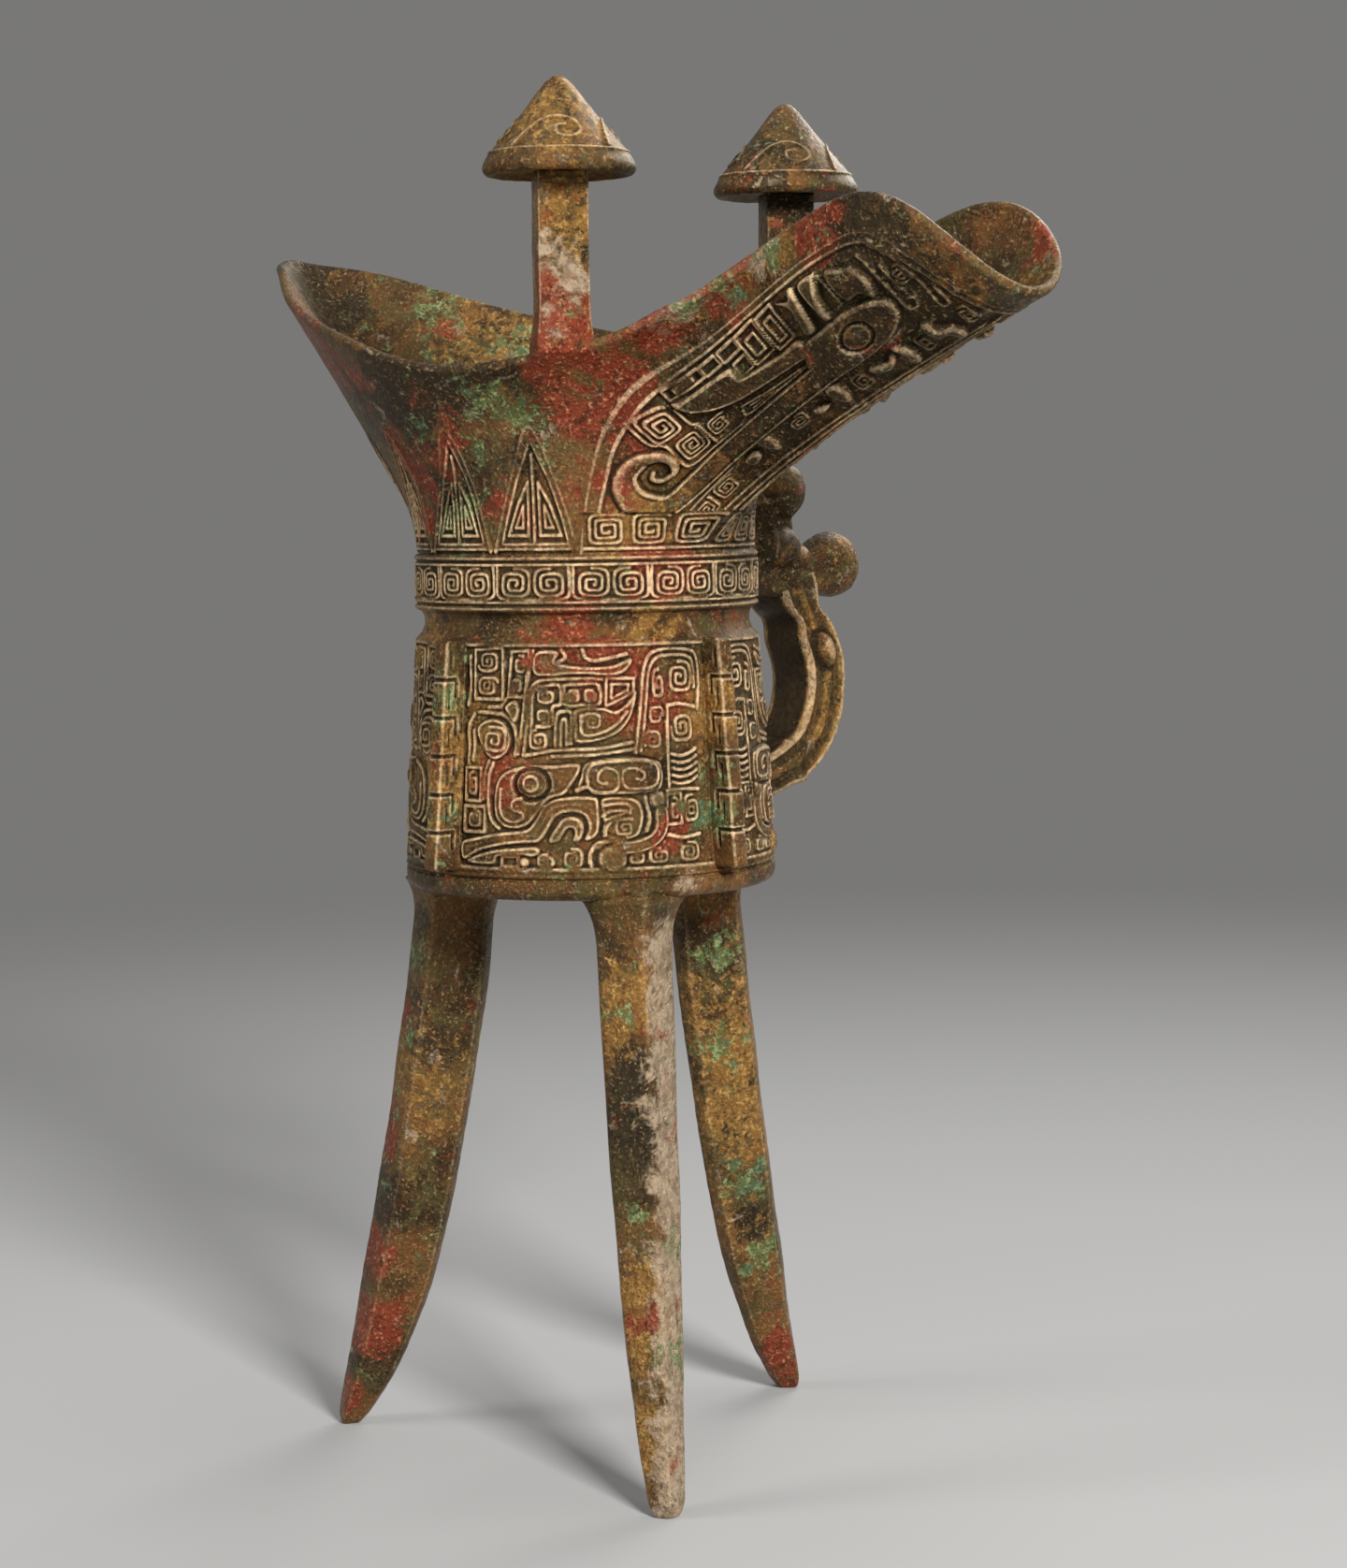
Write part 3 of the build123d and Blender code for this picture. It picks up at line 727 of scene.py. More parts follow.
# Threads of the ground
draw(mask, [
    [(12.2, 18.6), (12.8, 23), (13.3, 27.5), (13.9, 31), (14.6, 34.6)],
    [(13.0, 18.4), (13.6, 23), (14.1, 28), (15.0, 29.5), (17, 30.1), (22, 30.2), (25.6, 30.1)],
    [(14.3, 22.3), (14.5, 27.4), (15.3, 28.8), (17, 29.2), (18.9, 29.1), (19.1, 26.4), (17.8, 25.8),
     (17.7, 23.2), (15.2, 22.8)],
    [(19.6, 29.2), (22.4, 29.4), (25.0, 29.2), (25.1, 26.3), (22.4, 26.1), (19.7, 26.3), (19.6, 29.2)],
    [(18.2, 19.9), (18.4, 24.4), (19.6, 25.2), (20.8, 24.6), (20.6, 20.2)],
    [(19.0, 19.9), (19.2, 23.4), (19.9, 23.6), (20.0, 20.0)],
    [(13.4, 18.3), (18, 19.1), (25, 19.3), (30.2, 20.2)],
    [(17.6, 18.2), (25, 18.5), (30.4, 19.2)],
    [(30.7, 18.6), (31.5, 24), (32.2, 30), (33.0, 33), (34.4, 34.2), (37, 34.5), (40.6, 34.2), (42, 33),
     (42.2, 29), (41.8, 25)],
    [(31.5, 18.9), (32.3, 24), (33.0, 30), (33.8, 32.4), (35.2, 33.4), (38, 33.6), (40.4, 33.2), (41.2, 32),
     (41.3, 28.4)],
    [(36.0, 13.0), (36.0, 19), (36.2, 25.7)],
    [(36.2, 25.7), (38.4, 25.9), (41.2, 25.3)],
    [(5.0, 24.9), (8, 24.8), (10.1, 24.3), (11.5, 22.6), (11.9, 20), (11.6, 18.3)],
    [(6.8, 25.7), (9, 25.9), (10, 27)],
    [(7.9, 17.2), (7.1, 15), (7.0, 11), (7.6, 8.2), (9, 6.9)],
    [(7.2, 17.4), (6.3, 15), (6.2, 11.4)],
    [(23.5, 0.9), (23.3, 2.8), (24.2, 4.4), (25.6, 5.0)],
    [(24.4, 4.0), (26, 4.9), (28.6, 5.0)],
    [(32.0, 6.4), (32.6, 8.2), (32.2, 10.2), (32.0, 11.6)],
    [(35.6, 12.4), (38.4, 12.6), (41.2, 12.4)],
    [(35.5, 5.6), (38, 5.0), (41, 5.4)],
    [(17.6, 32.4), (19.8, 33.4), (19.2, 34.7)],
    [(22.6, 34.7), (23.2, 33.4), (25, 33.0), (29.6, 33.9)],
    [(3.0, 16.8), (3.2, 19.5), (2.9, 22.6), (4.0, 24.6)],
    [(3.9, 17.4), (4.2, 19.5), (4.0, 22)],
    [(2.6, 26), (3.2, 29), (2.9, 33.6)],
])
scale_lows = (13.4, 14.5, 15.6, 16.7, 17.8)
draw(mask, [[(36.6, low + 0.35), (38, low), (39.6, low + 0.25), (41, low + 1.0)] for low in scale_lows])
frames(mask, [(35.5, 7.2, 37.9, 11.9), (9.6, 0.95, 12.3, 2.5), (2.5, 6.2, 6.4, 10.2), (2.6, 11.0, 5.6, 16.2)])
shape_lines = [
    [(4.1, 27), (4.0, 34.6), (9.2, 35.0), (9.4, 27), (4.1, 27)],
    [(10.4, 27.4), (10.9, 34.4), (13.9, 34.6), (13.2, 27.4), (10.4, 27.4)],
    [(26.3, 30.2), (26.2, 25.9), (30.6, 28.0), (30.7, 30.1), (26.3, 30.2)],
    [(27.1, 29.3), (27.0, 27.0), (29.7, 28.3), (29.8, 29.2), (27.1, 29.3)],
]
for points in shape_lines:
    ridge(mask, points, 0.42)
spirals(mask, [
    (6.6, 32.9, 1.95, 1.6, 2.0, 200, 1),
    (6.6, 28.9, 1.95, 1.5, 2.0, 20, 1),
    (12.3, 32.4, 0.95, 1.4, 1.6, 90, -1),
    (11.9, 29.0, 0.95, 1.3, 1.6, 270, -1),
    (16.8, 27.5, 1.5, 1.15, 1.8, 90, 1),
    (21.0, 27.7, 1.1, 1.1, 1.7, 180, 1),
    (23.7, 27.7, 0.95, 1.1, 1.7, 0, -1),
    (16.2, 24.4, 1.2, 1.1, 1.6, 270, 1),
    (15.6, 20.7, 1.6, 1.6, 1.8, 100, 1),
    (38.6, 30.0, 2.3, 2.5, 2.2, 90, -1),
    (34.8, 29.0, 1.0, 2.4, 1.6, 90, 1),
    (34.2, 24.2, 1.2, 1.4, 1.8, 0, 1),
    (33.6, 20.4, 1.4, 1.5, 1.9, 200, -1),
    (38.7, 22.3, 2.0, 2.3, 2.1, 180, 1),
    (4.4, 8.2, 1.3, 1.4, 1.8, 90, -1),
    (4.1, 13.6, 0.95, 1.9, 1.7, 90, 1),
    (39.8, 9.4, 1.4, 2.2, 2.0, 90, 1),
    (36.7, 9.5, 0.75, 1.8, 1.5, 90, -1),
    (34.0, 2.4, 1.7, 1.2, 1.8, 90, 1),
    (38.9, 2.7, 1.8, 1.5, 2.0, 90, -1),
    (16.8, 1.9, 1.4, 1.0, 1.7, 90, 1),
    (20.7, 2.3, 1.5, 1.5, 2.0, 90, -1),
    (30.2, 2.1, 1.3, 0.8, 1.4, 90, -1),
])
finish_drawing(mask)

# Lower vessel, from the middle of its underside to the top of the neck band
lower_columns = 864
under_step = 1.2
side_step = 0.21
edge_round = 1.8
flat_radius = 8
uneven_radius = 20
edge = []
for a in np.linspace(0, math.pi / 2, 7):
    edge_radius = base_radius - edge_round + edge_round * math.sin(a)
    edge.append((edge_radius, leg_height + edge_round - edge_round * math.cos(a)))
under_path = resample([(0.05, leg_height), (base_radius - edge_round, leg_height)], under_step)
side_path = resample(
    edge + [
        (base_radius, panel_bottom - 1.5),
        (base_radius - 0.45, panel_bottom - 1.3),
        (base_radius - 0.45, panel_bottom - 1.05),
        (base_radius + 0.05, panel_bottom - 0.8),
        (base_radius + 0.05, panel_bottom - 0.5),
        (base_radius - 0.3, panel_bottom - 0.3),
        (base_radius - 0.05, panel_bottom),
        (panel_top_radius, panel_top - 0.3),
        (panel_top_radius - 0.35, panel_top + 0.15),
        (groove_radius + 0.35, panel_top + 0.75),
        (groove_radius - 0.15, panel_top + 2.0),
        (groove_radius - 0.1, band_bottom - 1.2),
        (groove_radius + 0.3, band_bottom - 0.35),
        (band_radius - 0.3, band_bottom - 0.05),
        (band_radius, band_bottom + 0.3),
        (band_radius, band_top - 0.4),
        (band_radius - 0.3, band_top),
        (neck_radius - 0.6, band_top + 0.1),
    ],
    side_step,
)
path = np.vstack([under_path[:-1], side_path])
turn = np.linspace(-math.pi, math.pi, lower_columns + 1)
radius, turns = np.meshgrid(path[:, 0], turn, indexing="ij")
level = np.broadcast_to(path[:, 1:], radius.shape)
bearing = np.degrees(turns)
mask_across = np.minimum(np.abs(bearing + 90), np.abs(bearing - 90)) / 2
on_mask = (level > panel_bottom) & (level < panel_top - 0.2) & (radius > panel_top_radius - 0.2)
on_band = (level > band_bottom) & (level < band_top) & (radius > band_radius - 0.15)
band_across = np.mod((bearing - band_turn) / 360 * band_pairs, 1) * pair_width


def lower_value(key, plain):
    """Value of the drawings all over the lower vessel."""
    value = np.where(on_mask, read(mask, key, mask_across, level - panel_bottom), plain)
    return np.where(on_band, read(band_sheet, key, band_across, level - band_bottom), value)


lower = upright(radius, turns, level)
lower_worn = lower_value("wear_and_shade", plain_worn)
lift = lower_value("height", 0.0) + lumps(lower, depth=0.05)
lift = lift * smooth_step(radius, flat_radius, uneven_radius)
lower = lower + upright(lift, turns, 0 * lift)
quarter = lower_columns // 4
for index in range(4):
    part = slice(index * quarter, (index + 1) * quarter + 1)
    grid_piece(f"vessel_lower_{index + 1}", lower[:, part], lower_worn[:, part], "vessel_body")


def ring_spline(knots, values, spots):
    """Smooth closed curve through values at knots; the last knot is the first one again."""
    count = len(values)
    gap = np.diff(knots)
    matrix = np.zeros((count, count))
    slope = np.zeros(values.shape)
    for k in range(count):
        before, after = gap[k - 1], gap[k]
        matrix[k, k - 1] += before
        matrix[k, k] += 2 * (before + after)
        matrix[k, (k + 1) % count] += after
        slope[k] = 6 * ((values[(k + 1) % count] - values[k]) / after - (values[k] - values[k - 1]) / before)
    bend = np.linalg.solve(matrix, slope)
    k = np.clip(np.searchsorted(knots, spots, side="right") - 1, 0, count - 1)
    following = (k + 1) % count
    step = gap[k][:, None]
    a = ((knots[k + 1] - spots) / gap[k])[:, None]
    b = 1 - a
    return (a * values[k] + b * values[following]
            + ((a ** 3 - a) * bend[k] + (b ** 3 - b) * bend[following]) * step ** 2 / 6)


def at_neck(bearing):
    """Plan position on the neck at a bearing in degrees."""
    angle = np.radians(bearing)
    return neck_radius * np.stack([np.cos(angle), np.sin(angle)], -1)


def joined(loop):
    """Closed loop of points, with its first point again at the end."""
    return np.vstack([loop, loop[:1]])


# Mouth: meridians of both halves as one ring, spread evenly by the mean of their gaps at neck and rim
half = np.array(meridians, float)
other_half = half[-2:0:-1] * np.array([-1, 1, -1, 1, 1]) + np.array([360, 0, 0, 0, 0])
ring = np.vstack([half, other_half])
neck = at_neck(ring[:, 0])
knots = (travelled(joined(neck)) + travelled(joined(ring[:, 1:3]))) / 2


def mouth(spots, shares):
    """Grid of points on the outer surface of the mouth; shares run from the neck to the rim."""
    drift = ring[:, :1] - 360 * knots[:-1, None] / knots[-1]
    start = at_neck(ring_spline(knots, drift, spots)[:, 0] + 360 * spots / knots[-1])
    rest = ring_spline(knots, ring[:, 1:], spots)
    share = shares[:, None] ** rest[None, :, 3]
    flat = start[None] + (rest[None, :, :2] - start[None]) * share[..., None]
    height = band_top + shares[:, None] * rest[None, :, 2]
    return np.concatenate([flat, height[..., None]], -1)


def spout_table():
    """Square of the half width of the spout over the length from the axis and the height over the neck."""
    count = 500
    near_keel = 4
    lengths = np.arange(0, spout_limit[0], cell)
    rows = []
    for level in np.arange(0, spout_limit[1], cell):
        climb = level / ring[:, 3]
        over = np.maximum(climb - 1, 0)
        bend = (ring[:, 4] - over_rim_growth) * over_rim_bend * (1 - np.exp(-over / over_rim_bend))
        share = np.where(climb <= 1, climb ** ring[:, 4], 1 + over_rim_growth * over + bend)
        outline = neck + (ring[:, 1:3] - neck) * share[:, None]
        along = travelled(joined(outline))
        x, y = ring_spline(along, outline, np.linspace(0, along[post_knot + 1], count)).T
        beyond = y[near_keel] ** 2 / (x[0] - x[near_keel]) * (x[0] - lengths)
        rows.append(np.where(lengths > x[0], beyond, np.interp(lengths, x[::-1], y[::-1] ** 2)))
    square = np.array(rows)
    slope_up, slope_along = np.gradient(square, cell)
    return {"left": 0.0, "low": 0.0, "square": square, "slope_up": slope_up, "slope_along": slope_along}


def spout_side(columns, shares):
    """Points and outward directions on one side of the spout, from its keel to the meridian of the post."""
    back = np.linspace(1, 0, columns, endpoint=False)[None]
    up = shares[:, None]
    lip, post_root = ring[0], ring[post_knot]
    turn = np.radians(post_root[0]) * (1 - back)
    low = np.stack([neck_radius * np.cos(turn), 0 * turn], -1)
    rim_count = 600
    rim_line = ring_spline(knots, ring[:, 1:4], np.linspace(0, knots[post_knot], rim_count))
    travel = travelled(rim_line)
    rim_x, rim_y, rim_z = (np.interp((1 - back) * travel[-1], travel, rim_line[:, k]) for k in range(3))
    high = np.stack([rim_x, rim_z], -1)
    root_x = neck[post_knot, 0]
    left = np.stack([root_x + (post_root[1] - root_x) * up ** post_root[4], up * post_root[3]], -1)
    keel = np.stack([neck_radius + (lip[1] - neck_radius) * up ** lip[4], up * lip[3]], -1)
    up = up[..., None]
    to_left = ((1 - back) ** 2)[..., None]
    flat = (1 - up) * low + up * high
    flat = flat + to_left * (left - (1 - up) * np.array([root_x, 0]) - up * post_root[[1, 3]])
    flat = flat + (1 - to_left) * (keel - (1 - up) * np.array([neck_radius, 0]) - up * lip[[1, 3]])
    along, climb = flat[..., 0], flat[..., 1]
    table = spout_table()
    half = np.sqrt(np.maximum(read(table, "square", along, climb), 0))
    half = half + (rim_y - half[-1:]) * shares[:, None] ** 5
    half[:, 0] = 0
    points = np.stack([along, half, band_top + climb], -1)
    slope_along, slope_up = (read(table, key, along, climb) for key in ("slope_along", "slope_up"))
    return points, unit(np.stack([-slope_along, 2 * half, -slope_up], -1))


# Leaves that stand on the neck band: across is half a millimetre for each degree
leaf_pitch = 30
leaf_top = 22
leaf_half = 9
leaf = drawing(-leaf_pitch / 4, leaf_pitch / 4, 0, leaf_top)
leaf_edge = [(7.0, 0.6), (5.5, 6.2), (3.4, 12.4), (0.0, 19.8)]
leaf_outline = leaf_edge + [(-x, y) for x, y in leaf_edge[-2::-1]]


def inner_leaf(foot):
    """Smaller outline inside the leaf, with its foot at a height."""
    return [(0.82 * x, foot + 0.84 * (y - leaf_edge[0][1])) for x, y in leaf_outline]


sink_area(leaf, inner_leaf(1.4))
sink_area(leaf, box_line(-leaf_half, 0.2, leaf_half, 0.7))
ridge(leaf, [(-leaf_half, 0.95), (leaf_half, 0.95)], 0.45)
ridge(leaf, curve(leaf_outline, steps=5), 0.6, 0.16)
ridge(leaf, joined(inner_leaf(1.6)), 0.42)
ridge(leaf, [(0, 1.6), (0, 15.4)], 0.42)
leaf_fold = [(4.5, 3.0), (1.0, 3.0), (0.85, 11.2), (2.6, 8.0), (4.5, 3.0)]
leaf_core = [(3.2, 4.2), (1.9, 4.2), (1.75, 7.6), (3.2, 4.2)]
for side in (-1, 1):
    ridge(leaf, [(side * x, y) for x, y in leaf_fold], 0.42)
    ridge(leaf, [(side * x, y) for x, y in leaf_core], 0.4)
finish_drawing(leaf)

# Row of square spirals on the neck under the spout: across as for the leaves, one for each 14.5 degrees
row_width = 7.25
row_height = 6.3
row = drawing(0, row_width, 0, 8)
sink_area(row, box_line(-overlap, 0.4, row_width + overlap, row_height))
ridge(row, [(-overlap, 0.85), (row_width + overlap, 0.85)], 0.4)
ridge(row, spiral(row_width / 2, 3.7, 3.2, 2.45, 2.8, 45, 1, 0.35), 0.4)
finish_drawing(row)

# Side of the spout: across is the distance along the spout, up is the way round it from the keel
spout_lean = math.radians(30)
spout_middle = (58.0, 181.0)
spout_radius = 18.0
spout = drawing(-52, 42, -29, 20)
spout_border = [
    (-51.0, -9.4), (-47.5, -5.5), (-43.5, -1.2), (-38.5, 2.9), (-33, 5.6), (-27, 7.3), (-20, 8.1),
    (-10, 7.9), (0, 7.3), (8, 6.6), (14, 5.6), (19, 4.3), (22.3, 1.5), (24.6, -3.5), (26, -10), (27.4, -18),
    (29, -29),
]
inner_border = [
    (-50.2, -11), (-46.6, -6.8), (-42.6, -2.6), (-37.8, 1.7), (-32.6, 4.4), (-27, 6.1), (-20, 6.9),
    (-10, 6.8), (0, 6.2), (8, 5.5), (13.6, 4.5), (18, 3.2), (21, 0.8), (23.3, -4), (24.8, -10), (26.2, -18),
    (27.7, -29),
]
inner_line = curve(inner_border, steps=5)
sink_area(spout, np.vstack([inner_line, [(28, -32), (-55, -32)]]))
ridge(spout, curve(spout_border, steps=5), 0.36, 0.16)
ridge(spout, inner_line, 0.34, 0.16)

# Dragon along the spout: body and curled tail, head, horn, and what lies below it
swell(spout, [
    (8, -13.0, 6.0), (-4, -13.1, 5.9), (-22, -13.3, 5.8), (-32, -13.6, 5.6), (-37.5, -13.2, 5.0),
    (-40.4, -10.6, 4.2), (-41.2, -7, 3.6), (-40, -3.2, 3.2), (-36.8, -1.4, 2.7), (-33.9, -2.6, 2.3),
    (-33, -5.2, 2.0), (-34.1, -7.5, 1.6), (-36.3, -7.2, 1.2), (-37.1, -5.6, 1.0), (-36.4, -4.6, 0.9),
], 0.75, 1.3)
mounds(spout, [
    [(-26.4, 4.1), (-23, 3.9), (-18.6, 3.6), (-13.9, 2.8), (-13, 0), (-9.9, -0.9), (-4.9, -2.2),
     (-0.5, -2.8), (0.1, -7.5), (-4.9, -6.6), (-10.5, -5.6), (-14.9, -4.7), (-18.6, -3.4), (-22.4, -0.9),
     (-25.2, 1.3)],
    [(-1, -5), (4, -4.4), (9, -4.8), (14, -6.4), (16.7, -8.6), (17.4, -11.2), (16, -14.4), (12, -16.6),
     (6, -17.2), (0, -16.4), (-3, -12)],
    [(11.4, -3.8), (11.0, 1.6), (12.2, 2.7), (14.5, 1.0), (16.4, 0), (17.4, -3.8), (15.9, -7.2),
     (14.2, -4.6)],
], 0.8, 0.9)
mounds(spout, [
    [(0.4, 4.7), (2.4, 2.0), (1.5, -3.1), (3.8, -3.3), (5.2, 3.8), (4.0, 4.9), (3.0, 3.6)],
    [(6.0, 4.0), (5.9, -0.6), (6.1, -3.8), (7.5, -4.1), (8.0, -0.3), (9.6, 2.6), (9.4, 3.9)],
    [(4.6, -19.2), (5.6, -21.6), (8.0, -22.6), (10.0, -21.0), (9.8, -19.2), (8.4, -20.2), (6.8, -19.8)],
    [(10.4, -18.4), (12.6, -19.8), (13.2, -22.6), (12.2, -25.2), (10.8, -24.0), (11.2, -21.4)],
    [(17.2, -18.2), (19.0, -18.6), (19.2, -21.2), (21.4, -22.4), (21.5, -25.9), (19.8, -25.6),
     (19.4, -23.6), (17.3, -22.4)],
    [(-3.6, -16.6), (-1.2, -17.8), (-0.9, -21.4), (-2, -23.4), (-3.6, -20.6)],
    [(-20.0, -15.4), (-17.2, -17.0), (-17.0, -20.4), (-18.0, -22.4), (-19.6, -19.0)],
    [(-24.4, -18.6), (-22.4, -17.9), (-20.9, -19.0), (-21.4, -20.9), (-23.4, -21.2)],
    [(-8.4, -19.4), (-7.2, -21.6), (-5.0, -21.0), (-6.2, -19.8)],
], 0.95, 0.8)
groove(spout, oval(8.3, -11.1, 3.1, 3.4), 0.5, 0.5, 0.8)
dome(spout, 8.3, -11.1, 2.6, 1.2)
groove(spout, oval(8.3, -11.1, 1.5, 1.6), 0.3, 0.4, 1.2)
draw(spout, [
    [(-1.5, -10.3), (-12, -10.4), (-24, -10.6), (-34, -11.2), (-37.6, -11.0), (-39, -9), (-39.6, -6),
     (-38.8, -3.4), (-36.6, -2.4)],
    [(2, -16.2), (-12, -16.2), (-24, -16.3), (-34, -16.3), (-40, -14.4), (-43, -10)],
    [(-25.6, 3.2), (-21, 3.0), (-15, 2.2), (-13.6, -0.6), (-8, -2.2), (-0.9, -3.6)],
    [(-24.4, 1.2), (-20, -1.9), (-14, -4.2), (-6, -5.9), (-0.6, -6.8)],
    [(0, -5.8), (5, -5.3), (10, -6.0), (14, -7.4), (16, -9.6), (16.2, -12)],
], 0.4, 0.9)
spirals(spout, [
    (-30.2, 1.7, 2.9, 2.8, 2.9, 45, 1),
    (-28.6, -4.9, 2.8, 3.3, 2.9, 45, -1),
    (-22.6, -5.3, 2.0, 2.3, 2.3, 45, 1),
    (21.7, -7.2, 1.3, 2.2, 2.0, 90, -1),
    (-11.8, -19.8, 2.0, 1.9, 2.2, 90, -1),
    (-41.0, -21.0, 2.1, 2.3, 2.3, 45, 1),
    (-36.0, -21.4, 2.2, 2.4, 2.3, 45, -1),
    (-30.4, -20.9, 2.4, 2.5, 2.5, 45, 1),
    (2.2, -21.4, 1.8, 2.3, 2.0, 90, 1),
    (24.2, -22.4, 1.3, 2.6, 2.0, 90, -1),
    (15.2, -22.4, 1.0, 2.6, 1.7, 90, 1),
], 0.42, 0.14, 0.4)
draw(spout, [
    [(-17.4, -5.6), (-10.5, -7.5), (-0.9, -9.0), (-10, -8.9), (-17.2, -8.6), (-17.6, -6.6)],
    [(-15.8, -7.0), (-10.5, -8.2), (-15.6, -8.1)],
    [(-33.6, 4.2), (-33.6, 0.4), (-32.0, -2.0), (-31.8, -8.8), (-26, -9.4), (-19.4, -9.6)],
    [(-26.6, 3.0), (-26.4, -0.6), (-25.4, -2.4), (-25.2, -8.8)],
    [(17.8, 1), (18.4, -2), (18.4, -8), (18.3, -13.5), (19.8, -14.4), (20.6, -12.4), (19.3, -11.7)],
    [(20.1, -3.2), (20.1, -10)],
    [(20.4, 1.0), (21.8, -1.6), (23.0, -4.8), (23.3, -11), (22.8, -17.3), (24.3, -17.4), (24.4, -13.4)],
    [(12.4, -2.2), (12.4, 1.0), (13.6, 0.4), (14.2, -2.6)],
    [(9.6, 3.8), (10.2, 0.6), (10.2, -3.6)],
    [(-44, -17.9), (-36, -18.2), (-27, -17.9)],
    [(-43, -25.0), (-20, -25.2), (0, -26), (24, -27)],
    [(-43, -27.0), (-20, -27.2), (0, -27.6), (26, -28.4)],
], 0.42, 0.16)
frames(spout, [
    (-26, 4.4, -18.8, 6.1), (-18.3, 4.2, -14.9, 6.0), (-14.2, 4.0, -10.2, 5.9), (-24.4, 5.0, -20.6, 5.5),
    (-13.2, -0.2, -10.3, 2.8), (-9.7, -0.6, -5.1, 5.8), (-8.6, 0.8, -6.3, 4.2), (-4.5, -1.6, -0.6, 5.4),
    (-3.5, -0.4, -1.7, 4.0),
], 0.4, 0.16)
finish_drawing(spout)

# Where each drawing lies: bearings in degrees, and the start of the spout along its length
leaf_limit = 45
row_limit = 44
spout_bearing = 80
spout_start = 5

spout_columns = 340
back_columns = 563
mouth_columns = 2 * spout_columns + back_columns - 1
mouth_rows = 230
rim_round = 0.9
rim_wall = 1.7
shares = np.linspace(0, 1, mouth_rows)
flip = np.array([1, -1, 1])
side_points, side_facing = spout_side(spout_columns, shares)
back_points = mouth(np.linspace(knots[post_knot], knots[-1 - post_knot], back_columns), shares)
outer = np.concatenate([side_points, back_points, (side_points * flip)[:, :0:-1]], 1)
direction = normals(outer)
direction[:, :spout_columns] = side_facing
direction[:, 1 - spout_columns:] = (side_facing * flip)[:, :0:-1]
edge_normal = direction[-1]
edge_up = unit(np.cross(edge_normal, np.roll(outer[-1], -1, 0) - np.roll(outer[-1], 1, 0)))
outer = outer - edge_up * rim_round * (shares ** 6)[:, None, None]
bearing = np.degrees(np.arctan2(outer[..., 1], outer[..., 0]))
over_neck = outer[..., 2] - band_top
spout_across, off_keel = turned(outer[..., 0] - spout_middle[0], outer[..., 2] - spout_middle[1], -spout_lean)
spout_up = spout_radius * np.arctan2(off_keel, np.abs(outer[..., 1]))
leaf_across = (np.mod(bearing + leaf_pitch / 2, leaf_pitch) - leaf_pitch / 2) / 2
on_leaf = (np.abs(bearing) > leaf_limit) & (over_neck < leaf_top)
on_row = (np.abs(bearing) < row_limit) & (over_neck < row_height + 0.2)
row_across = np.mod(bearing / 2, row_width)
on_spout = (outer[..., 0] > spout_start) & (np.abs(bearing) < spout_bearing) & ~on_row


def mouth_value(key, plain):
    """Value of the drawings all over the outside of the mouth."""
    value = np.where(on_leaf, read(leaf, key, leaf_across, over_neck), plain)
    drawn = read(spout, key, spout_across, spout_up)
    value = np.where(on_spout & (drawn != plain), drawn, value)
    return np.where(on_row, read(row, key, row_across, over_neck), value)


mouth_worn = mouth_value("wear_and_shade", plain_worn)
dressed = outer + direction * (mouth_value("height", 0.0) + lumps(outer, depth=0.07))[..., None]

# Rim: rolled over from the outside to the inside, then the inner wall down to the floor
rim_worn = 0.58
rim_points = 9
inside_row_step = 6
inside_column_step = 3
rim_turn = np.linspace(0, math.pi, rim_points)[1:-1, None, None]
thickness = wall - (wall - rim_wall) * smooth_step(shares, 0.7, 1.0)
rim_middle = outer[-1] - edge_normal * rim_wall / 2
rim = rim_middle + edge_normal * rim_wall / 2 * np.cos(rim_turn) + edge_up * rim_round * np.sin(rim_turn)
inside = (outer - direction * thickness[:, None, None])[::-inside_row_step]
bore = [
    (neck_radius - wall, band_top - 1.0),
    (bore_radius, band_top - 2.5),
    (bore_radius, panel_top),
    (base_radius - wall - 0.8, floor_top + 3),
    (base_radius - wall - 1.8, floor_top + 0.9),
    (base_radius - wall - 4, floor_top),
    (0.05, floor_top),
]
bore_path = resample(bore, 1.0)
angle = np.arctan2(outer[0, :, 1], outer[0, :, 0])
inner = np.concatenate([dressed[-1:], rim, inside, upright(bore_path[:, :1], angle, bore_path[:, 1:])])
inner_worn = np.full(inner.shape[:2], plain_worn)
inner_worn[1:len(rim)] = rim_worn
inner = inner + lumps(inner, depth=0.08)[..., None] * smooth_step(np.arange(len(inner)), 1, 6)[:, None, None]
sixth = mouth_columns // 6
for index in range(6):
    columns = np.arange(index * sixth, (index + 1) * sixth + 1) % mouth_columns
    grid_piece(f"vessel_mouth_{index + 1}", dressed[:, columns], mouth_worn[:, columns], "vessel_body")
thinned = slice(None, None, inside_column_step)
grid_piece("vessel_inside", inner[:, thinned], inner_worn[:, thinned], "vessel_body", closed=True)

# Legs: height as a share of the leg, radius of the outer ridge and of the inner edge, width at the corners
leg_stations = [
    (0.00, 46.9, 42.4, 5.6),
    (0.05, 46.2, 39.2, 6.6),
    (0.13, 44.7, 34.8, 8.0),
    (0.27, 42.2, 29.4, 9.8),
    (0.43, 39.2, 25.4, 11.1),
    (0.60, 36.2, 22.2, 12.0),
    (0.80, 33.2, 18.9, 12.8),
    (1.00, 30.4, 16.8, 13.4),
]
leg_bearings = {"leg_front": (-28, -30), "leg_handle": (83, 89), "leg_tail": (210, 210)}
collar_height = 9.0
collar_spread = 2.6
leg_root_rise = 3.2
leg_root_inset = 1.2
foot_round = 2.8


